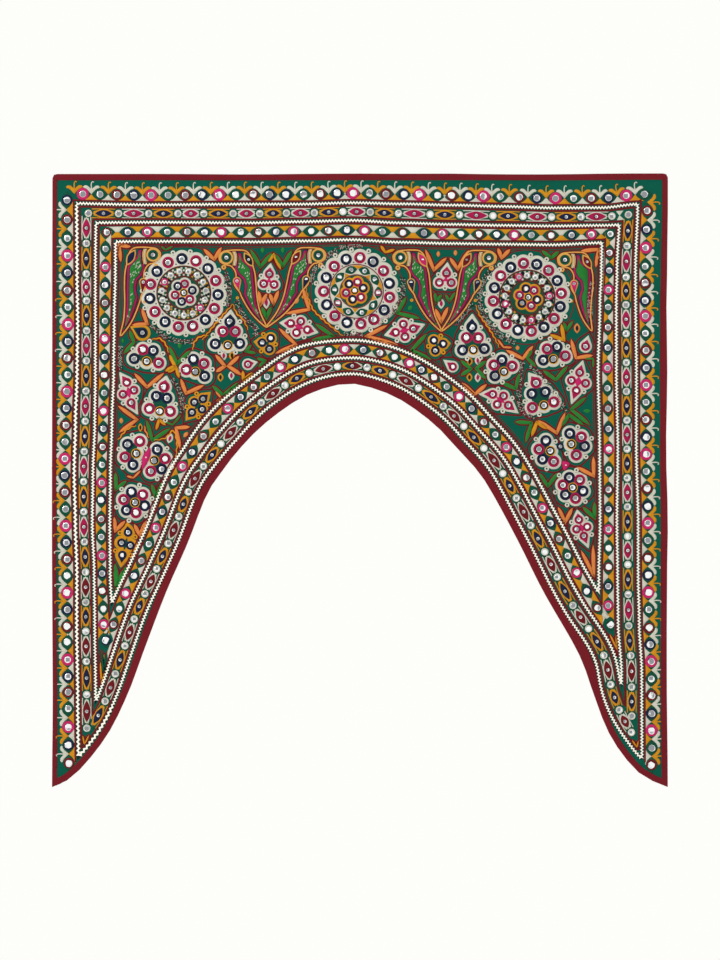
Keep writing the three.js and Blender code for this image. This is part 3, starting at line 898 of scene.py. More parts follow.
def work_lines():
    """Maroon lines of chain stitch beside the braids, and under each braid a near-black strip that
    is painted shade in the braid's gaps.
    """
    for key, outer, inner in (("outer", 5.6, 5.4), ("middle", 6.1, 4.7), ("inner", 6.0, 5.6)):
        if key == "outer":
            path = three_sides(key, -outer, 1030, 1030)
            line("maroon", even(path, 6), 3.6)
        else:
            line("maroon", even(loop(key, -outer), 6, closed=True), 3.8, closed=True)
        line("maroon", even(loop(key, inner), 6, closed=True), 3.6, closed=True)
        # Painted shade: a near-black strip, a little wider than the braid, lies under it so that
        # its gaps and edges look shaded.
        line("black", even(loop(key), 6, closed=True), 7.0, 0.2, closed=True)
    line("maroon", even(loop("inner", 9.8), 6, closed=True), 1.8, 0.3, closed=True)


def work_borders():
    """All that lies between the binding and the inner braid."""
    work_lines()
    work_first_border()
    work_second_border()
    work_third_border()
    work_feet()


def hull(points):
    """The tight outline round some points, anticlockwise."""
    points = sorted(map(tuple, np.round(points, 4)))

    def half(run):
        kept = []
        for p in run:
            while len(kept) > 1 and ((kept[-1][0] - kept[-2][0]) * (p[1] - kept[-2][1])
                                     - (kept[-1][1] - kept[-2][1]) * (p[0] - kept[-2][0])) <= 0:
                kept.pop()
            kept.append(p)
        return kept[:-1]

    return np.array(half(points) + half(points[::-1]))


def drop_shape(centre, radius, tip=None):
    """A round, or a round drawn out to a tip."""
    points = arc(centre, radius, sides=24)
    return hull(points if tip is None else np.vstack((points, [tip])))


def star_outline(centre, parts, steps=120):
    """The outline round several convex parts, as seen from a place inside them all."""
    angles = np.linspace(0, 2 * math.pi, steps, endpoint=False)
    rays = np.column_stack((np.cos(angles), np.sin(angles)))
    reach = np.zeros(steps)
    for part in parts:
        start = part - centre
        span = np.roll(start, -1, 0) - start
        bottom = rays[:, :1] * span[:, 1] - rays[:, 1:] * span[:, 0]
        bottom = np.where(np.abs(bottom) < 1e-9, 1e-9, bottom)
        far = (start[:, 0] * span[:, 1] - start[:, 1] * span[:, 0]) / bottom
        share = (start[:, 0] * rays[:, 1:] - start[:, 1] * rays[:, :1]) / bottom
        good = (share >= -1e-6) & (share <= 1 + 1e-6) & (far > 0)
        reach = np.maximum(reach, np.where(good, far, 0).max(axis=1))
    return centre + rays * reach[:, None], reach


def loops_at_dips(centre, outline, reach, name="white", apart=10, least=0.6):
    """Small rings of thread where two scallops meet."""
    count = len(reach)
    for i in range(count):
        window = [reach[(i + k) % count] for k in range(-apart, apart + 1)]
        edges = min(max(window[:apart]), max(window[apart + 1:]))
        if reach[i] <= min(window) and reach[i] < reach[i - 1] and edges > reach[i] + least:
            at = outline[i] + unit(outline[i] - centre) * 2.8 * SQUARE
            ring(name, at, 0.95 * SQUARE, 2.35 * SQUARE, 0.9, sides=12)
            ring("black", at, 0.2, 1.0 * SQUARE, 0.6, sides=8)


# A petal's two rings: colour, and radius as a share of the mirror's
RINGS = {
    "M": (("maroon", 1.34), ("magenta", 1.86)),
    "N": (("black", 1.36), ("navy", 1.84)),
    "C": (("black", 1.42), ("yellow", 1.64)),
}


def petal_mirror(centre, kind, size, tip=None):
    """A mirror in two rings of thread, whose outer ring may be drawn out to a tip."""
    radius = size * SQUARE
    rings = [(colour, share * radius) for colour, share in RINGS[kind]]
    if tip is not None:
        fill(rings[-1][0], drop_shape(centre, rings[-1][1], tip), rise=0.75)
    mirror(centre, radius, rings)


def flower(petals, centre=None, size=3.1, scallop=2.6, tips=(), name="white", heart="green",
           loops=True):
    """Mirrors in a scalloped ground of thread. Tips are (petal's number, square)."""
    places = chart(*[petal[:2] for petal in petals])
    middle = chart(centre)[0] if centre is not None else places.mean(axis=0)
    drawn = {number: chart(square)[0] for number, square in tips}
    parts = [drop_shape(at, size * scallop * SQUARE, drawn.get(i)) for i, at in enumerate(places)]
    spokes = [hull(np.vstack((drop_shape(at, 5.6 * SQUARE)[::3], [middle]))) for at in places]
    outline, reach = star_outline(middle, parts + spokes)
    fill(name, outline, rise=0.5, angle=GLASS.uniform(0, 180))
    away = outline + unit(outline - middle) * 3.4 * SQUARE
    line("maroon", even(hull(away), 4, closed=True), 3.3, 0.25, closed=True)
    many = len(places) > 4
    if len(places) > 2:
        core = hull(places if many else np.vstack((places, [middle])))
        core = middle + (core - middle) * (0.8 if many else 0.62)
        fill(heart, core, rise=0.66)
        for k in range(len(core) if many else 0):
            gap = (core[k] + core[k - 1]) / 2
            fill("green", arc(gap, 2.1 * SQUARE, sides=8), rise=0.66)
    for i, (at, petal) in enumerate(zip(places, petals)):
        tip = at + (drawn[i] - at) * 0.62 if i in drawn else None
        petal_mirror(at, petal[2], size, tip)
    if loops:
        loops_at_dips(middle, outline, reach, name)


def chequer(centre, inner, outer, rows, colours, seed):
    """Rings of small square stitches by turns of colour."""
    pick = random.Random(seed)
    depth = (outer - inner) / rows
    for row in range(rows):
        low = inner + row * depth
        count = round(2 * math.pi * (low + depth / 2) / depth / 2) * 2
        for k in range(count):
            if (k + row) % 2:
                continue
            name = pick.choice(colours)
            turn = 2 * math.pi * k / count
            half = math.pi / count * 0.92
            corners = [(turn - half, low), (turn + half, low), (turn + half, low + depth * 0.9),
                       (turn - half, low + depth * 0.9)]
            fill(name, [(centre[0] + r * math.sin(a), centre[1] + r * math.cos(a))
                        for a, r in corners], rise=0.75, edge=0.25)


MEDALLIONS = (
    # Mirrors of the outer ring: middle, radius, count, first turn, kinds and the odd one.
    # Small mirrors: middle, outer, inner and own radius, count, first turn, turns of the pink ones.
    # Rosette: middle, colour, kinds and turns.
    ((183.3, 293.1), 34.3, 15, -3.1, "NM", 7,
     (183.3, 293.1), 27.0, 16.5, 22.2, 15, 12.0, (299, 131),
     (183.3, 292.9), "white", "NMNMNM", (-42, 6, 74, 137, 193, 255)),
    ((356.4, 290.9), 33.3, 15, 5.2, "MN", 6,
     (355.9, 291.4), 26.9, 16.6, 21.9, 10, -14.2, (93, 238),
     (354.2, 290.8), "yellow", "NMNMNM", (-41, 18, 73, 137, 194, 256)),
    ((526.8, 297.3), 34.2, 16, -6.5, "MN", None,
     (526.6, 298.0), 28.0, 17.2, 22.5, 17, 0.0, (81, 160, 244, 333),
     (527.8, 297.3), "yellow", "NMNMNM", (-16, 40, 106, 161, 226, 283)),
)


def work_medallion(middle, radius, count, start, kinds, odd, core, outer, inner, small, small_count,
                   small_start, pinks, heart, heart_colour, heart_kinds, heart_turns):
    """A wheel of mirrors: scalloped ring, chequered ring and rosette."""
    centre, core_at, heart_at = chart(middle)[0], chart(core)[0], chart(heart)[0]
    turns = start + 360 / count * np.arange(count)
    places = np.vstack([arc(centre, radius * SQUARE, turn, 360, 1) for turn in turns])
    parts = [drop_shape(at, 8.9 * SQUARE) for at in places] + [drop_shape(centre, radius * SQUARE)]
    outline, reach = star_outline(centre, parts, 240)
    fill("white", outline, rise=0.5, angle=30)
    line("maroon", arc(centre, (radius + 13) * SQUARE, sides=90)[::-1], 2.0, 0.2, closed=True)
    loops_at_dips(centre, outline, reach, apart=7, least=0.4)
    for i, at in enumerate(places):
        kind = "M" if i == odd else kinds[(i + (odd is not None and i > odd)) % 2]
        petal_mirror(at, kind, 3.15)
        if i == odd:
            ring("navy", at, 4.3 * SQUARE, 5.9 * SQUARE, 1.15, start=190, sweep=180)
        junction = arc(centre, (radius - 4.6) * SQUARE, turns[i] + 180 / count, 360, 1)[0]
        ring("black", junction, 0.1, 0.75 * SQUARE, 0.75, sides=8)
    fill("green", arc(core_at, (outer + 0.3) * SQUARE, sides=72), rise=0.62)
    plain_ring = small_count == 10
    if plain_ring:
        half = math.radians(180 / small_count)
        fill("white", arc(core_at, outer * SQUARE, sides=72), rise=0.68)
        fill("green", arc(core_at, (inner - 0.3) * SQUARE, sides=60), rise=0.75)

        def wheel(turn, r):
            return core_at + r * SQUARE * np.array((math.sin(turn), math.cos(turn)))

        for k in range(small_count):
            turn = math.radians(small_start + 360 / small_count * k)
            if k % 2:
                spike = [wheel(turn + half, small), wheel(turn + half * 1.7, inner + 0.4),
                         wheel(turn + half, inner + 0.4), wheel(turn + half * 0.3, inner + 0.4)]
            else:
                spike = [wheel(turn + half, small), wheel(turn + half * 1.75, outer - 0.5),
                         wheel(turn + half, outer - 0.5), wheel(turn + half * 0.25, outer - 0.5)]
            fill("yellow", spike, rise=0.78)
            fill("green", [wheel(turn + half * 0.96 * x, small + z) for x, z in lens(2.0, 8.4)],
                 rise=0.86, edge=0.3)
    else:
        chequer(core_at, (inner + 0.8) * SQUARE, (outer - 0.8) * SQUARE, 4,
                ("white", "white", "white", "yellow"), 7)
        chequer(core_at, (inner + 0.8) * SQUARE, (outer - 0.8) * SQUARE, 2, ("black", "maroon"), 9)
    small_turns = small_start + 360 / small_count * np.arange(small_count)
    for turn in small_turns:
        at = arc(core_at, small * SQUARE, turn, 360, 1)[0]
        name = "green" if plain_ring else "white"
        if min(abs((turn - pink + 180) % 360 - 180) for pink in pinks) < 180 / small_count:
            name = "pink"
            fill("pink", arc(at, 4.2 * SQUARE, sides=8), rise=0.85)
        mirror(at, 2.5 * SQUARE, ((name, 3.1 * SQUARE),))
    for r in (outer, inner):
        line("maroon", arc(core_at, r * SQUARE, sides=90)[::-1], 2.3, 1.1, closed=True)
    heart_places = np.vstack([arc(heart_at, 8.9 * SQUARE, turn, 360, 1) for turn in heart_turns])
    outline, _ = star_outline(heart_at, [drop_shape(at, 6.7 * SQUARE) for at in heart_places]
                              + [drop_shape(heart_at, 8 * SQUARE)])
    fill(heart_colour, outline, rise=0.8, angle=60)
    for at, kind in zip(heart_places, heart_kinds):
        petal_mirror(at, kind, 2.5)
    mirror(heart_at, 2.6 * SQUARE, (("black", 3.7 * SQUARE), ("yellow", 4.5 * SQUARE)))


def work_medallions():
    """The three wheels of mirrors."""
    for row in MEDALLIONS:
        work_medallion(*row)


FLOWERS = (
    # Field on the left
    dict(petals=((142.6, 349.7, "M"), (152.8, 350.8, "N"), (133.8, 358.7, "N"), (158.2, 363, "M"),
                 (146.2, 361.5, "C")), centre=(146.2, 359)),
    dict(petals=((192.9, 359.5, "N"), (203.5, 363.7, "M"), (185.9, 369.7, "M"), (204.2, 376.3, "N"),
                 (195, 371.8, "C")), centre=(195.5, 369.5)),
    dict(petals=((163.7, 387, "M"), (155.9, 396.4, "N"), (166.5, 398.3, "N"), (149, 408.6, "M"),
                 (169.9, 411.5, "M"), (159.4, 411.4, "C")), centre=(161, 402),
         tips=((0, (166.2, 375)),)),
    dict(petals=((229.4, 322, "N"), (222.4, 331.5, "M"), (234.8, 331.5, "M"), (214.8, 344, "N"),
                 (239.2, 343.6, "N"), (227.3, 345.4, "C")), centre=(227.8, 336),
         tips=((0, (230.4, 309)),)),
    dict(petals=((127.2, 444.4, "N"), (139.4, 441.4, "M"), (124.5, 457.1, "M"), (132.5, 464.8, "N"),
                 (135.8, 453.6, "C")), centre=(132.8, 453)),
    dict(petals=((156.8, 449.7, "N"), (164.7, 458.7, "M"), (161.1, 469.1, "N"), (150.4, 471.3, "M"),
                 (153.9, 460.5, "C")), centre=(156.8, 460.5)),
    dict(petals=((131, 492.2, "N"), (142.3, 494.9, "M"), (144.2, 505.7, "N"), (135.5, 512.8, "M"),
                 (126, 510.2, "N"), (123.2, 499.6, "M"), (134.6, 502.6, "C")),
         centre=(134.4, 502.4)),
    dict(petals=((126.4, 382.5, "M"), (133.5, 390.3, "M"), (130.6, 402.8, "M"),
                 (122.5, 394.4, "M")),
         size=2.5, tips=((0, (118.3, 371.5)), (2, (138, 415.5))), heart="pink"),
    dict(petals=((202.5, 399, "N"), (201.6, 409.3, "N"), (191.5, 412.5, "N"), (193.9, 402.3, "N")),
         size=2.4, name="yellow", tips=((0, (210.8, 391.7)), (2, (185, 421)))),
    dict(petals=((127.6, 532.5, "N"), (129.9, 545.5, "N"), (121.9, 555.1, "N"),
                 (121.1, 542.9, "N")),
         scallop=3.1, size=2.4, name="yellow", tips=((0, (126.6, 521.8)), (2, (120.4, 568.5)))),
    # Between the parrots
    dict(petals=((268.8, 274.1, "M"), (263.2, 283.8, "M"), (273.6, 284.6, "M")),
         centre=(268.6, 280.5), size=2.5, tips=((0, (270.3, 262.8)),), heart="pink"),
    dict(petals=((446, 273.4, "M"), (438.8, 282.6, "M"), (450.6, 282.8, "M")), centre=(445.3, 280),
         size=2.5, tips=((0, (447, 261.8)),), heart="pink"),
    # Over the crown of the arch
    dict(petals=((290.2, 323.6, "M"), (300.3, 321.5, "M"), (307, 329.9, "M"), (296.1, 332.7, "M")),
         size=2.5, tips=((0, (278.2, 322.9)), (2, (318.6, 332.9))), heart="pink"),
    dict(petals=((402.8, 324.3, "M"), (412.8, 328.8, "M"), (404.4, 336.7, "M"), (395, 332.5, "M")),
         size=2.5, tips=((1, (425.4, 324)), (3, (383, 335.6))), heart="pink"),
    dict(petals=((270.2, 338.3, "N"), (261.7, 342.8, "N"), (268.8, 349.1, "N")),
         centre=(267, 343.5), size=2.4, name="yellow", tips=((1, (252.8, 341.8)),)),
    dict(petals=((433.3, 340.4, "N"), (442.5, 344, "N"), (434.8, 350.6, "N")), centre=(436.8, 345),
         size=2.4, name="yellow", tips=((1, (450.6, 343.4)),)),
    dict(petals=((247.4, 364.4, "M"),), size=2.3, tips=((0, (257.6, 362)),), loops=False),
    dict(petals=((452.2, 366.8, "M"),), size=2.3, tips=((0, (442.4, 359.6)),), loops=False),
    # Field on the right
    dict(petals=((471.2, 327, "N"), (465.9, 337.8, "M"), (477.6, 337.8, "M"), (462, 350.2, "N"),
                 (483.8, 348.8, "N"), (472.8, 350, "C")), centre=(472.4, 341),
         tips=((0, (471.9, 313)),)),
    dict(petals=((501.4, 360, "N"), (493.4, 365.1, "M"), (511.6, 366.2, "M"), (494.3, 376, "N"),
                 (503.5, 371.7, "C")), centre=(500.5, 368.5)),
    dict(petals=((546.7, 348.9, "M"), (556.6, 347, "N"), (564.6, 356.1, "M"), (542.8, 360.2, "N"),
                 (552.7, 359.2, "C")), centre=(553, 355)),
    dict(petals=((585, 346.4, "M"),), size=2.5, tips=((0, (588, 335.2)),), loops=False),
    dict(petals=((579.1, 372.6, "M"), (585, 383.4, "M"), (575.7, 390.8, "M"), (570.9, 380.5, "M")),
         size=2.5, tips=((0, (582.7, 359.6)), (2, (570.4, 405.4))), heart="pink"),
    dict(petals=((492.2, 394.5, "M"), (503, 396.1, "M"), (507.8, 405.4, "M"), (496.7, 404.4, "M")),
         size=2.5, tips=((0, (476.8, 394)), (2, (518.6, 413.8))), heart="pink"),
    dict(petals=((535.5, 382.9, "M"), (531.3, 393.8, "N"), (544.7, 392, "N"), (531.8, 407.6, "M"),
                 (553.3, 402.1, "M"), (543.5, 405.4, "C")), centre=(538.8, 396),
         tips=((0, (527.3, 372)),)),
    dict(petals=((545.3, 440.8, "N"), (538.4, 449.3, "M"), (542, 459.2, "N"), (553.1, 461.5, "M"),
                 (549.8, 451, "C")), centre=(546.2, 451.2)),
    dict(petals=((569.2, 433.5, "N"), (580.8, 437, "M"), (584, 446.3, "N"), (575.7, 455.1, "M"),
                 (570.8, 444.2, "C")), centre=(575.4, 444.4)),
    dict(petals=((568.8, 477.6, "N"), (579.1, 480.1, "M"), (582.4, 491.2, "N"), (575, 498.4, "M"),
                 (564.9, 494.7, "N"), (562.5, 485, "M"), (572.2, 487.6, "C")),
         centre=(572.2, 487.6)),
    dict(petals=((578.3, 519.7, "M"), (586.6, 527, "M"), (583.3, 536, "M"), (575.9, 529.3, "M")),
         size=2.4, tips=((0, (576.4, 509)), (2, (588.4, 549.2))), heart="pink"),
)


def work_flowers():
    """All the flowers, and the drop that holds a single mirror on the left."""
    for row in FLOWERS:
        flower(**row)
    tip = chart((129.5, 326.4))[0]
    for name, radius, reach, rise in (("yellow", 8.2, 1.0, 0.55), ("green", 5.8, 0.8, 0.7),
                                      ("navy", 5.0, 0.66, 0.8)):
        centre = chart((142, 332.9))[0]
        fill(name, drop_shape(centre, radius * SQUARE, centre + (tip - centre) * reach), rise=rise)
    mirror(chart((142, 332.9))[0], 2.4 * SQUARE, (("black", 3.6 * SQUARE),))
    petal_mirror(chart((559.7, 446.6))[0], "N", 2.0)


# Share of a leaf's length where it is widest
BULGE = 0.42


def arm(start, end, width):
    """The two edges of one pointed leaf from a tip to an apex."""
    along = end - start
    aside = np.array((-along[1], along[0])) / math.hypot(*along)
    shares = np.linspace(0, 1, 7)
    swell = np.where(shares < BULGE, np.sin(np.minimum(shares / BULGE, 1) * math.pi / 2) ** 0.8,
                     1 - 0.3 * ((shares - BULGE) / (1 - BULGE)) ** 2)
    middle = start + shares[:, None] * along
    half = aside * (swell * width / 2)[:, None]
    return middle + half, middle - half


def chevron(colour, first, apex, last, width=4.3):
    """Two pointed leaves that meet in an apex, with a dark outline."""
    a, b, c = chart(first, apex, last)
    inside = unit(unit(a - b) + unit(c - b))
    half = math.acos(max(-1.0, min(1.0, float(unit(a - b) @ unit(c - b))))) / 2
    angle = GLASS.uniform(0, 180)
    width = min(width, 0.4 * min(math.hypot(*(a - b)), math.hypot(*(c - b))) / SQUARE)
    for name, wide, rise, longer in (("maroon", width + 2.8, 0.5, 2.0),
                                     (colour, width - 0.2, 0.8, 0.0)):
        wide *= SQUARE
        for tip in (a, c):
            one, other = arm(tip + unit(tip - b) * longer, b, wide)
            reach = min(wide * 0.3 / max(math.sin(half), 0.35), wide * 0.8)
            outline = np.vstack((one, [b - inside * reach], other[1:][::-1]))
            fill(name, outline, rise=rise, angle=angle, edge=0.35)


def drop(colours, square, wide, tall, lean=0.0):
    """Pointed ovals of several colours, one on the other."""
    centre = chart(square)[0]
    turn = math.radians(lean)
    for i, name in enumerate(colours):
        if i:
            wide, tall = wide * 0.5, tall * 0.62
        if wide * SQUARE < 1.2:
            break
        shape = lens(tall * SQUARE, wide * SQUARE)
        x, z = shape[:, 1], shape[:, 0]
        outline = centre + np.column_stack((x * math.cos(turn) + z * math.sin(turn),
                                            -x * math.sin(turn) + z * math.cos(turn)))
        fill(name, outline, rise=0.5 + 0.25 * i, edge=0.3)


def wave(name, *squares):
    """A long thin leaf that swings, with a dark line on both sides."""
    path = even(smooth(chart(*squares), 2.5), 2.0)
    share = np.linspace(0, 1, len(path))
    taper = np.sin(math.pi * np.clip(share, 0.06, 0.94)) ** 0.4
    path = path + across(path) * (np.sin(np.arange(len(path)) * 1.15) * 0.85)[:, None]
    line("maroon", path, 4.3 * SQUARE, 0.45, taper=taper)
    line(name, path, 1.9 * SQUARE, 0.85, taper=taper)


SPECKLE_COLOURS = ("white", "magenta", "white", "black", "black", "pink", "black", "white")


def speckle(*squares, seed):
    """A row of small slanting stitches, black, white and pink by turns."""
    path = even(smooth(chart(*squares), 2.0), 2.7)
    aside = across(path)
    ahead = np.column_stack((aside[:, 1], -aside[:, 0]))
    pick = random.Random(seed)
    line("green", path, 8.8, 0.25)
    for i in range(len(path) - 1):
        for lane in (-3.6, -1.8, 0.0, 1.8, 3.6):
            name = pick.choice(SPECKLE_COLOURS)
            middle = path[i] + aside[i] * lane + ahead[i] * pick.uniform(-0.6, 0.6)
            half = ahead[i] * 0.9 + aside[i] * 0.5
            wide = aside[i] * 0.6
            fill(name, [middle - half - wide, middle + half - wide, middle + half + wide,
                        middle - half + wide], rise=0.65, edge=0.15)


# Leaves in pairs, by colour: the first tip, the apex and the last tip
CHEVRONS = {
    "peach": (
        ((130.7, 246.9), (118.5, 245.2), (120.5, 262.7)),
        ((141.2, 308.3), (146.8, 324), (131, 325.2)),
        ((133.5, 373), (146.6, 387.3), (164.1, 372.6)),
        ((180.1, 378.4), (185.5, 393.5), (204, 385)), ((117, 405.5), (136.5, 419.8), (118, 433)),
        ((190, 427), (175.5, 428), (180, 450)), ((113.7, 516.8), (115, 530.8), (125.2, 520.6)),
        ((133.5, 523.8), (139.3, 535.3), (146.3, 520)),
        ((214.6, 354.4), (224.6, 366.2), (215.1, 372.2)),
        ((239.2, 355.6), (227.8, 366.2), (241.5, 375.4)),
        ((202.7, 248.7), (213.8, 259.6), (221.2, 247)),
        ((258, 290.8), (260.4, 304.4), (266.8, 293.2)),
        ((268.8, 293.2), (273.2, 303.6), (278.3, 290)),
        ((301.9, 286.8), (308.6, 309.5), (284.7, 313.9)),
        ((277.9, 327.8), (295.4, 344.7), (274.4, 353.8)),
        ((387.3, 325), (366.3, 336.2), (398.6, 345.4)),
        ((424.6, 249), (433.4, 270.1), (446.6, 257.3)),
        ((449, 257.3), (457.3, 269.3), (468.5, 249.7)),
        ((434.6, 308.3), (440.6, 321.9), (447.8, 306.7)),
        ((497.2, 247.8), (501.2, 258.1), (510, 249)),
        ((579.6, 251.1), (598.2, 249.4), (595.1, 268)),
        ((504.9, 349.9), (522.2, 358.8), (533, 345.4)),
        ((460.9, 382.4), (474.3, 394.5), (486.5, 384)),
        ((570.4, 338.6), (575.5, 358.1), (593, 355.3)),
        ((536.8, 419.9), (556.3, 433.2), (565, 412)), ((592.9, 456), (593.2, 476), (575.8, 466.8)),
        ((557.3, 506.7), (564.6, 522.4), (572.2, 507.5)),
        ((580.2, 549.9), (593.3, 575.9), (592.5, 544.2)),
    ),
    "yellow": (
        ((168.8, 354.5), (174.5, 366), (164.5, 371.5)),
        ((167.3, 372.6), (175.6, 367.5), (178.8, 378.4)),
        ((155.5, 430.5), (158.7, 419.5), (165.5, 425.5)),
        ((242.4, 370.5), (242.8, 380), (253.3, 372.2)),
        ((267.6, 262.1), (273.2, 254.5), (280.7, 270.1)),
        ((380, 245.4), (384.8, 252.5), (394.7, 249.3)),
        ((548.8, 334.6), (563.5, 340.2), (560.7, 323.4)),
        ((530.8, 437), (536.3, 422.3), (547.6, 429.4)),
    ),
    "leaf": (
        ((129, 329.9), (133.5, 342.3), (123, 354.1)),
        ((168.3, 346.2), (176.6, 363.7), (190.3, 350)), ((146, 420), (151.9, 440.5), (170.5, 428)),
        ((115.1, 471.9), (115.7, 489.3), (126.4, 480.6)),
        ((150.9, 483.7), (155.4, 497.4), (162.1, 481.6)),
        ((211.4, 385.4), (222.6, 395.2), (240.1, 381.7)),
        ((256, 358.4), (264.8, 360.7), (257.9, 367.6)),
        ((251, 344.6), (245.3, 351.5), (255.9, 353.3)),
        ((160.6, 246.2), (165.1, 250), (172.7, 246.2)), ((249.6, 249), (260, 266.9), (272, 252.5)),
        ((274.4, 254.1), (282.3, 266.1), (291.9, 249.7)),
        ((261.2, 306.7), (266, 317.9), (270.8, 306.7)),
        ((314.4, 323.6), (332.6, 336.2), (310.2, 340.5)),
        ((426.6, 333.4), (411.2, 350.3), (431.5, 360.1)),
        ((434.2, 292.4), (435.8, 302), (441.4, 294.4)),
        ((444.6, 294.4), (449, 301.2), (454.9, 292)),
        ((405.9, 296.4), (396.7, 313.1), (419.9, 318.7)),
        ((541, 250.4), (550.9, 258.1), (558.6, 251.1)),
        ((562.8, 322), (566.3, 330.4), (572.6, 320.6)),
        ((531.9, 349.5), (526.5, 358), (535.5, 367)),
        ((519, 372.8), (515.2, 388.8), (500.5, 382.4)),
        ((459.7, 360.1), (470.5, 369), (460, 375.7)),
        ((485.8, 360.7), (475.6, 368.7), (485.8, 379.5)),
        ((542.2, 370.2), (555.4, 379.9), (567.5, 365.6)),
        ((586, 397), (570.6, 409.5), (590, 425.6)),
        ((560.7, 426.7), (568.5, 414.8), (583.4, 425.3)), ((514, 422), (531, 422.9), (524.9, 443)),
        ((538.4, 472.8), (547.4, 486.3), (557.9, 472.2)),
        ((581.8, 506.7), (594, 517.8), (594, 501.7)),
    ),
}
THIN_CHEVRONS = (
    ("peach", (125.9, 476), (133, 478), (140.4, 470.4)),
    ("leaf", (163.5, 421), (172, 425), (181, 414.5)),
    ("peach", (214.9, 391.1), (220.6, 398), (214.9, 402.6)),
    ("peach", (496.7, 339), (503, 347.3), (512, 347.7)),
    ("leaf", (584, 358.7), (592.7, 358.7), (592.7, 368)),
)
# Colours from the outside in, middle, width, height and lean
DROPS = (
    (("leaf",), (122.3, 340.8), 2.5, 5), (("leaf",), (179.1, 345.2), 3.8, 7.6),
    (("leaf",), (262, 250.1), 3.5, 6), (("leaf",), (282.2, 250.1), 3.5, 6),
    (("leaf",), (586.4, 411), 4, 8, 90), (("leaf",), (409.5, 307.9), 4, 6, 45),
    (("peach",), (120.8, 420.8), 4, 6), (("peach",), (185.3, 434.7), 4, 7, 40),
    (("peach",), (296.3, 300.8), 4, 7, 30), (("peach",), (437.8, 254.1), 3.6, 6),
    (("peach",), (454.9, 252.9), 3.6, 6), (("peach",), (517, 348), 4, 5),
    (("white", "magenta"), (223.3, 355.8), 6.3, 10.3),
    (("white", "magenta"), (230.9, 375.6), 6.3, 10),
    (("white", "magenta"), (265.8, 302.4), 7.2, 14), (("white", "magenta"), (440.7, 303.6), 7, 11),
    (("white", "magenta"), (477.2, 360.4), 6.3, 10),
    (("white", "magenta"), (477.2, 377.6), 6.3, 10),
    (("white", "magenta"), (169.5, 438.5), 6.4, 10.5, 20),
    (("yellow", "black"), (231.5, 355.6), 6, 10), (("yellow", "black"), (220, 377.4), 6, 9),
    (("yellow", "black"), (139.9, 427.6), 4.6, 9), (("yellow", "black"), (469.2, 361.4), 6, 9),
    (("yellow", "black"), (468.9, 377.3), 6, 9), (("peach", "black"), (576.5, 328.3), 6.3, 10.5),
)
# Colour, and squares along the leaf
WAVES = (
    ("yellow", (151.4, 339.8), (159, 338.5), (165, 344), (168.3, 352.6)),
    ("yellow", (208, 335.2), (199, 337), (193.6, 343), (192.5, 350.4)),
    ("yellow", (232.5, 304.4), (236, 313), (243, 320), (247.7, 329.9)),
    ("yellow", (202, 340), (210, 330), (219, 319), (232.5, 304.2)),
    ("yellow", (135.5, 425.5), (126, 430), (117.4, 440.3)),
    ("yellow", (153.9, 440.3), (165, 438), (173, 430.6), (176.5, 443), (175.3, 458.2)),
    ("yellow", (305, 287.2), (311, 306.7), (320.6, 317.9), (342.4, 336.2)),
    ("yellow", (475, 305), (479, 315), (486, 325), (493, 336), (499, 348)),
    ("peach", (143.7, 426), (145.5, 432), (148.3, 437.8)),
)
# Squares along each row of small stitches
SPECKLES = (
    ((224.8, 273), (228, 284), (228.7, 295), (225, 307)),
    ((151.5, 325), (163, 335.5), (178, 341.5), (193.6, 341)),
    ((310, 283), (315, 269), (325, 257.5), (337, 250)), ((340, 248), (351, 246), (363, 246)),
    ((402, 278), (402.5, 290), (400, 300), (390, 314), (376, 324)),
    ((344, 334), (354, 335), (363, 334)),
    ((495, 266), (484, 279), (479, 298), (484, 316), (497, 333), (515, 344)),
    ((236.1, 301.2), (244, 317), (256, 329), (253.6, 336.2)),
    ((471.7, 304.4), (463, 315), (453.3, 325.9)), ((592.3, 282.7), (589.4, 298.1), (590.1, 323.4)),
    ((120, 347), (119, 359), (120.5, 371)),
    ((171.8, 379.7), (178, 390), (182.6, 404.5), (181.3, 414)),
    ((522, 363), (519, 378), (518.6, 395), (521, 408), (528.5, 415.6), (535, 418.5)),
    ((530, 366), (541, 377), (553, 392), (566, 412)),
)


# Outline, and the square of its white eye
PINK_LEAVES = (
    (((149.4, 447.8), (150.2, 455), (147, 462.5), (142, 469.6), (141.2, 462), (143.2, 454.5)),
     (145.5, 457.4)),
    (((561.6, 461.4), (569.2, 463.2), (566.8, 468), (563.2, 470.4)), (565.4, 465.2)),
)


def work_leaves():
    """The leaves, drops and lines of small stitches that fill the field."""
    for corners, eye in PINK_LEAVES:
        outline = smooth(chart(*corners), 1.5, True)
        line("maroon", outline, 1.6 * SQUARE, 0.4, True)
        fill("pink", outline, rise=1.9, edge=0.3)
        ring("white", chart(eye)[0], 0.1, 0.9 * SQUARE, 2.2, sides=10)
    for name, rows in CHEVRONS.items():
        for row in rows:
            chevron(name, *row)
    for name, *row in THIN_CHEVRONS:
        chevron(name, *row, width=2.6)
    chevron("leaf", (114.7, 563.3), (116.3, 588.2), (125.9, 565.9), width=5.6)
    for row in DROPS:
        drop(*row)
    for name, *row in WAVES:
        wave(name, *row)
    for i, row in enumerate(SPECKLES):
        speckle(*row, seed=i)


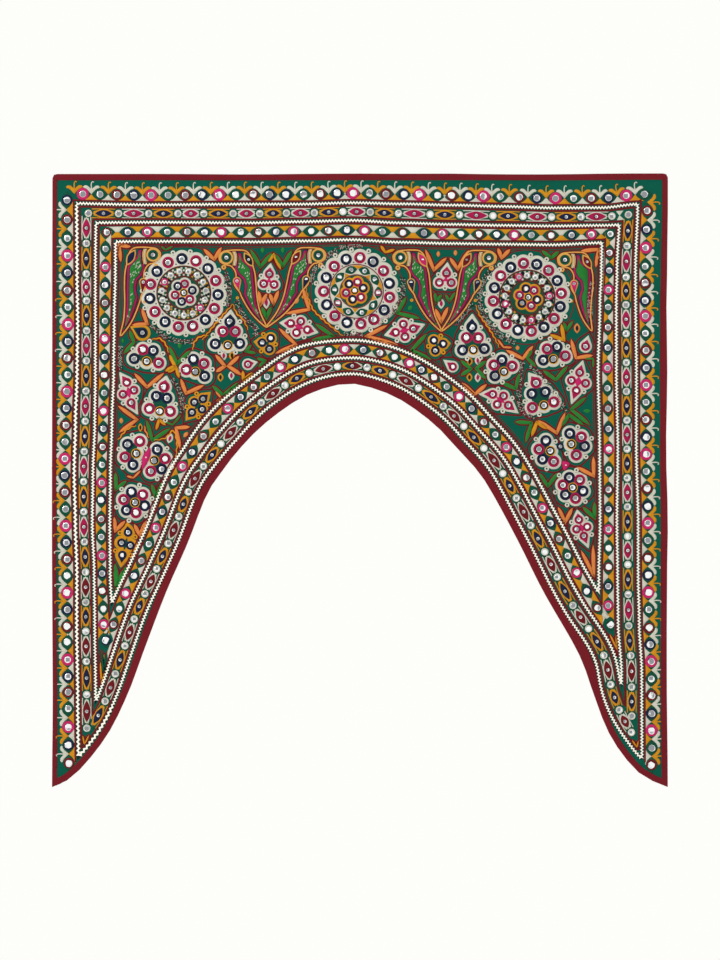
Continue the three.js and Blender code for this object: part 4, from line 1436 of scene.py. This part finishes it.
# One parrot drawn as if it faced left, in squares from its head down to its tail.
PARROT_WIDE, PARROT_TALL = 40.1, 69
PARROT_OUTLINE = (
    (-7.3, 0.4), (-6.9, -2.7), (-2.9, -6.2), (3, -7.2), (11, -7.6), (19, -6.8), (23.7, -2),
    (26.1, 6.8), (28.5, 15.6), (29.7, 26.7), (30.9, 41.1), (34.1, 55.4), (40.1, 69), (34.9, 65.8),
    (26.9, 57.8), (20.6, 49), (15, 38.7), (13.4, 34.7), (8.6, 28.3), (8.2, 23.5), (9.8, 18.8),
    (8.6, 13.2), (4.6, 8.4), (-0.2, 7.2), (-5.8, 4.4))
PARROT_BODY = (
    (10.6, -5.6), (15.1, -5.3), (16.9, 1.3), (24.1, 6.9), (26.6, 10.3), (28.1, 26.3), (30.4, 45.1),
    (35.1, 62.3), (37.6, 66.8), (26.9, 55.8), (21.1, 46.3), (16.7, 36.8), (18, 28.3), (16.1, 22.1),
    (11, 17.6), (7.5, 10.8), (9.6, 4.3), (10.9, -1.7))
# Stitched flecks on a body; the last parrot, past this square, has none.
FLECKS = 300
PLAIN_FROM = 500
PARROTS = (
    # head, tail, which way it faces, back eye and wing colours
    ((152.6, 254.9), (119.8, 335.4), 1, "navy", "maroon"),
    ((225.9, 257.7), (266, 326.7), -1, "black", "pink"),
    ((317.8, 255.3), (266, 326.7), 1, "maroon", "navy"),
    ((399.9, 257.7), (441, 330.7), -1, "pink", "navy"),
    ((488.4, 258.1), (441, 330.7), 1, "maroon", "navy"),
    ((564.5, 259.9), (591.5, 330.4), -1, "maroon", "pink"),
)


def shrunk(outline, inset):
    """An outline drawn in all round, less where the shape is narrow."""
    count = len(outline)
    gaps = np.hypot(*(outline[:, None] - outline[None]).transpose(2, 0, 1))
    apart = np.abs(np.arange(count)[:, None] - np.arange(count)[None])
    gaps[np.minimum(apart, count - apart) < 5] = 99
    room = np.minimum(gaps.min(axis=1) * 0.36, inset)
    room = (np.roll(room, 1) + room + np.roll(room, -1)) / 3
    return outline + across(outline, True) * room[:, None]


def within(outline, spot):
    """Whether a place lies inside an outline."""
    (x, z), (x2, z2) = outline.T, np.roll(outline, -1, 0).T
    crosses = (z > spot[1]) != (z2 > spot[1])
    slope = (x2 - x) / np.where(crosses, z2 - z, 1)
    return np.sum(crosses & (spot[0] < x + (spot[1] - z) * slope)) % 2 == 1


def work_parrot(head, tail, faces, eye_colour, wing_colour):
    """A parrot: outline, body in three colours, ringed head, collar, back eye and wing."""
    wider = abs(tail[0] - head[0]) - PARROT_WIDE
    taller = (tail[1] - head[1]) / PARROT_TALL

    def lay(shape):
        shape = np.atleast_2d(np.array(shape, float))
        x = shape[:, 0] + wider * np.clip(shape[:, 1] / PARROT_TALL, 0, 1) ** 2
        y = np.where(shape[:, 1] > 0, shape[:, 1] * taller, shape[:, 1])
        return chart(*np.column_stack((head[0] - faces * x, head[1] + y)))

    body = lay(PARROT_BODY)
    if area(body) < 0:
        body = body[::-1]
    body = dense(even(body, 4, closed=True), True, 1)
    for name, inset, rise in (("navy", 0.0, 0.4), ("magenta", 0.7, 0.55), ("navy", 2.5, 0.62),
                              ("leaf", 3.2, 0.7)):
        fill(name, shrunk(body, inset * SQUARE), rise=rise, edge=0.3, angle=20)
    pick = random.Random(int(head[0]))
    core = shrunk(body, 4.0 * SQUARE)
    for k in range(FLECKS if head[0] < PLAIN_FROM else 0):
        spot = lay([(pick.uniform(8, 34), 4 + 52 * k / FLECKS)])
        if within(core, spot[0]):
            fleck = spot + np.array([(-1.1, -1.8), (1.1, -1.3),
                                     (0.8, 1.9)]) * pick.uniform(0.9, 1.3)
            fill(("white", "leaf", "white")[k % 3], fleck, rise=0.95, edge=0.15)
    outline = smooth(lay(PARROT_OUTLINE), 2.5, closed=True)
    line("maroon", outline, 4.0 * SQUARE, 0.4, closed=True)
    line("sand", outline, 1.65 * SQUARE, 0.9, closed=True)
    eye = lay([(0, 0)])[0]
    fill("green", arc(eye, 6 * SQUARE), rise=0.6)
    mirror(eye, 2.3 * SQUARE, (("black", 3.1 * SQUARE), ("green", 5.2 * SQUARE),
                               ("sand", 6.9 * SQUARE)))
    collar = np.array([(-0.9, -6), (0.3, -3), (0.6, 0.6), (0.2, 4.4), (-0.6, 8)])
    for x, name in ((7.2, "sand"), (8.4, "white"), (9.7, "sand"), (10.9, "navy")):
        line(name, smooth(lay(collar + (x, 0)), 2), 1.25 * SQUARE, 1.0)
    beak = lay([(-2.6, 9.6)])[0]
    ring("maroon", beak, 0.6 * SQUARE, 3.0 * SQUARE, 0.5)
    ring("sand", beak, 0.8 * SQUARE, 2.4 * SQUARE, 0.8)
    for name, length, height, rise in (("sand", 17.5, 8.4, 0.85), (eye_colour, 14.0, 6.2, 1.05)):
        x, y = lens(length, height).T
        leaf = lay(np.column_stack((22.2 + 0.53 * x - 0.85 * y, 2.0 + 0.85 * x + 0.53 * y)))
        fill(name, leaf if area(leaf) > 0 else leaf[::-1], rise=rise, angle=60)
    if head[0] > 200:
        mirror(lay([(22.2, 2.0)])[0], 1.5 * SQUARE, ((eye_colour, 2.2 * SQUARE),))
    wing = lay([(10.6, 23.4)])[0]
    fill("sand", drop_shape(wing, 4.2 * SQUARE, lay([(12.8, 35.4)])[0]), rise=0.85)
    fill(wing_colour, drop_shape(wing, 3.3 * SQUARE, lay([(12.6, 33)])[0]), rise=1.05)
    mirror(wing, 1.8 * SQUARE, ((wing_colour, 2.6 * SQUARE),))
    ring("yellow", lay([(11, 40.3)])[0], 0.5 * SQUARE, 1.6 * SQUARE, 0.8, sides=10)


def work_parrots():
    """Six parrots in three pairs."""
    for row in PARROTS:
        work_parrot(*row)


def sew_ground():
    """The green cotton panel, its raw edge inside the binding."""
    sheet_layer("ground cloth", even(loop("edge", RAW_EDGE_INSET), 7, closed=True), -FACE, FACE,
                CLOTH_GRID)
    cloth = stock("ground cloth").build(
        "ground cloth", cloth_material("green cotton", (0.0, 0.088, 0.056)), "green_cotton",
        ["ground_panel"])


def sew_bindings():
    """The folded maroon strips, and the dark stitches along their inner edges."""
    cotton = cloth_material("maroon cotton", (0.155, 0.008, 0.014), 0.82, 1.2)
    for name in ("binding_top", "binding_left", "binding_right", "binding_arch"):
        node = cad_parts[name]
        node.data.materials.clear()
        node.data.materials.append(cotton)
    seam = side_line("arch", "binding", 0.2, np.linspace(24, ARCH_AT[-1] - 24, 420))
    for path in (three_sides("binding", 0.2, TIP_WRAP_DROP, TIP_WRAP_DROP), seam):
        line("binding stitches", even(path, 6), 0.9, 0.9)
    stock("binding stitches").build(
        "binding stitches", thread_material("maroon"), "maroon_thread")


BRAID_PROFILE = ((-1.25, 0.05), (-0.95, 0.9), (0, 1.3), (0.95, 0.9), (1.25, 0.05))
# The outer braid's left side is a coarser one.
COARSE = 1.4


def sew_braids(width, period):
    """Three loops of white zigzag braid."""
    white = plain_material("white cotton braid", (0.88, 0.86, 0.76), 0.7)
    for key in ("outer", "middle", "inner"):
        path = even(loop(key), 1.0, closed=True)
        coarse = (path[:, 0] < -433) & (path[:, 1] < -60) & (key == "outer")
        scale = np.where(coarse, COARSE, 1.0)
        counted = np.cumsum(2 / (period * scale))
        last = int(counted[-1] / 2) * 2
        turns = np.interp(np.arange(last) * counted[-1] / last, counted, np.arange(len(path)))
        wide = scale[turns.astype(int)]
        path = np.column_stack([np.interp(turns, np.arange(len(path)), path[:, k]) for k in (0, 1)])
        swing = np.where(np.arange(last) % 2, 1, -1) * (width - 3.1) / 2
        zigzag = path + across(path, True) * swing[:, None]
        ribbon(f"zigzag braid {key}", zigzag, BRAID_PROFILE, closed=True, taper=wide)
        stock(f"zigzag braid {key}").build(
            f"zigzag braid {key}", white, "white_braid", [f"zigzag_{key}"])


def sew_mirrors():
    """All the glass as one piece, in place of the medallions' solid mirrors."""
    names = [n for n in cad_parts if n.startswith("mirror_")]
    stock("mirrors").build("mirrors", glass_material(), "mirror_glass", names)


def sew_threads():
    """One piece for all the embroidery of each colour."""
    for name, (_, slot) in COLOURS.items():
        if name in STOCKS:
            stock(name).build(f"{name} embroidery", thread_material(name), slot)


# Millimetres of the camera's sensor, then metres of the picture's width and middle
SENSOR = 36
PICTURE_WIDTH = 1.26
PICTURE_MIDDLE = -0.5365


def set_stage(camera_distance):
    """A pale floor and room, soft light, a grey card behind the camera, and the camera."""
    scene = bpy.context.scene
    pale = plain_material("pale floor", (0.93, 0.925, 0.90), 0.9)
    grey = plain_material("grey card", (0.30, 0.31, 0.33), 0.9)

    def card(name, size, place_at, turn, material):
        bpy.ops.object.select_all(action="DESELECT")
        bpy.ops.mesh.primitive_plane_add(size=size, location=place_at, rotation=turn)
        piece = bpy.context.object
        piece.name = name
        piece.data.materials.append(material)
        piece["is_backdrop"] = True

    card("pale_floor", 6, (0, -1.4, -2.4), (0, 0, 0), pale)
    card("grey_card", camera_distance * 0.5, (0, -camera_distance - 0.6, -0.54),
         (-math.pi / 2, 0, 0), grey)

    world = bpy.data.worlds.new("soft white room")
    world.use_nodes = True
    world.node_tree.nodes["Background"].inputs[0].default_value = (1, 1, 0.967, 1)
    world.node_tree.nodes["Background"].inputs[1].default_value = 0.985
    scene.world = world
    light = bpy.data.lights.new("soft_window", "AREA")
    light.shape = "SQUARE"
    light.size = 1.6
    light.energy = 85
    lamp = bpy.data.objects.new("soft_window", light)
    lamp.location = (-2.6, -3.2, 1.9)
    lamp.rotation_euler = Vector((2.6, 3.2, -2.5)).to_track_quat("-Z", "Y").to_euler()
    scene.collection.objects.link(lamp)

    camera = bpy.data.cameras.new("face_on_camera")
    camera.sensor_fit = "HORIZONTAL"
    camera.sensor_width = SENSOR
    camera.lens = SENSOR * camera_distance / PICTURE_WIDTH
    camera.clip_end = 90
    eye = bpy.data.objects.new("face_on_camera", camera)
    eye.location = (0, -camera_distance, PICTURE_MIDDLE)
    eye.rotation_euler = (math.pi / 2, 0, 0)
    scene.collection.objects.link(eye)
    scene.camera = eye
    scene.view_settings.view_transform = "Standard"


class ToranSettings(bpy.types.PropertyGroup):
    """Sizes that can be changed in the panel before the pieces are built."""

    braid_width: FloatProperty(
        name="Braid width", description="Width of the zigzag braid", default=0.0063, min=0.003,
        max=0.012, subtype="DISTANCE", unit="LENGTH")
    braid_period: FloatProperty(
        name="Braid period", description="Length of one zigzag", default=0.0055, min=0.003,
        max=0.02, subtype="DISTANCE", unit="LENGTH")
    mirror_seed: IntProperty(
        name="Mirror seed", description="Which way the mirrors lean", default=41, min=0)
    camera_distance: FloatProperty(
        name="Camera distance", description="How far away the camera stands", default=16.0,
        min=3.0, max=20.0, subtype="DISTANCE", unit="LENGTH")


class TORAN_OT_ground(bpy.types.Operator):
    """Lays the green cotton ground"""

    bl_idname = "toran.ground"
    bl_label = "Ground cloth"

    def execute(self, context):
        sew_ground()
        return {"FINISHED"}


class TORAN_OT_bindings(bpy.types.Operator):
    """Dresses the folded binding and stitches its edge"""

    bl_idname = "toran.bindings"
    bl_label = "Binding"

    def execute(self, context):
        sew_bindings()
        return {"FINISHED"}


class TORAN_OT_braids(bpy.types.Operator):
    """Sews on the three loops of zigzag braid"""

    bl_idname = "toran.braids"
    bl_label = "Zigzag braid"

    def execute(self, context):
        settings = context.scene.toran
        sew_braids(settings.braid_width * 1000, settings.braid_period * 1000)
        return {"FINISHED"}


class TORAN_OT_embroidery(bpy.types.Operator):
    """Works the borders, medallions, parrots and flowers"""

    bl_idname = "toran.embroidery"
    bl_label = "Mirrors and embroidery"

    def execute(self, context):
        GLASS.seed(context.scene.toran.mirror_seed)
        work_borders()
        work_medallions()
        work_parrots()
        work_flowers()
        work_leaves()
        sew_threads()
        sew_mirrors()
        return {"FINISHED"}


class TORAN_OT_stage(bpy.types.Operator):
    """Sets the pale room, the light and the camera"""

    bl_idname = "toran.stage"
    bl_label = "Stage"

    def execute(self, context):
        set_stage(context.scene.toran.camera_distance)
        return {"FINISHED"}


class TORAN_PT_panel(bpy.types.Panel):
    """Sizes and building steps of the toran"""

    bl_idname = "TORAN_PT_panel"
    bl_label = "Toran"
    bl_space_type = "VIEW_3D"
    bl_region_type = "UI"
    bl_category = "Toran"

    def draw(self, context):
        settings = context.scene.toran
        for name in ("braid_width", "braid_period", "mirror_seed", "camera_distance"):
            self.layout.prop(settings, name)
        for operator in OPERATORS:
            self.layout.operator(operator.bl_idname)


OPERATORS = (TORAN_OT_ground, TORAN_OT_bindings, TORAN_OT_braids, TORAN_OT_embroidery,
             TORAN_OT_stage)
CLASSES = (ToranSettings, *OPERATORS, TORAN_PT_panel)


def register():
    for kind in CLASSES:
        bpy.utils.register_class(kind)
    bpy.types.Scene.toran = PointerProperty(type=ToranSettings)


def unregister():
    del bpy.types.Scene.toran
    for kind in reversed(CLASSES):
        bpy.utils.unregister_class(kind)


def plain(value):
    """Vectors and arrays as plain lists."""
    if isinstance(value, dict):
        return {key: plain(item) for key, item in value.items()}
    if isinstance(value, (int, float, str)) or value is None:
        return value
    return [plain(item) for item in value]


def main():
    register()
    before = plain(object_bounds())
    for operator in OPERATORS:
        group, name = operator.bl_idname.split(".")
        getattr(getattr(bpy.ops, group), name)()
    {"after_load": before, "before_finish": plain(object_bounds())}


if __name__ == "__main__":
    main()
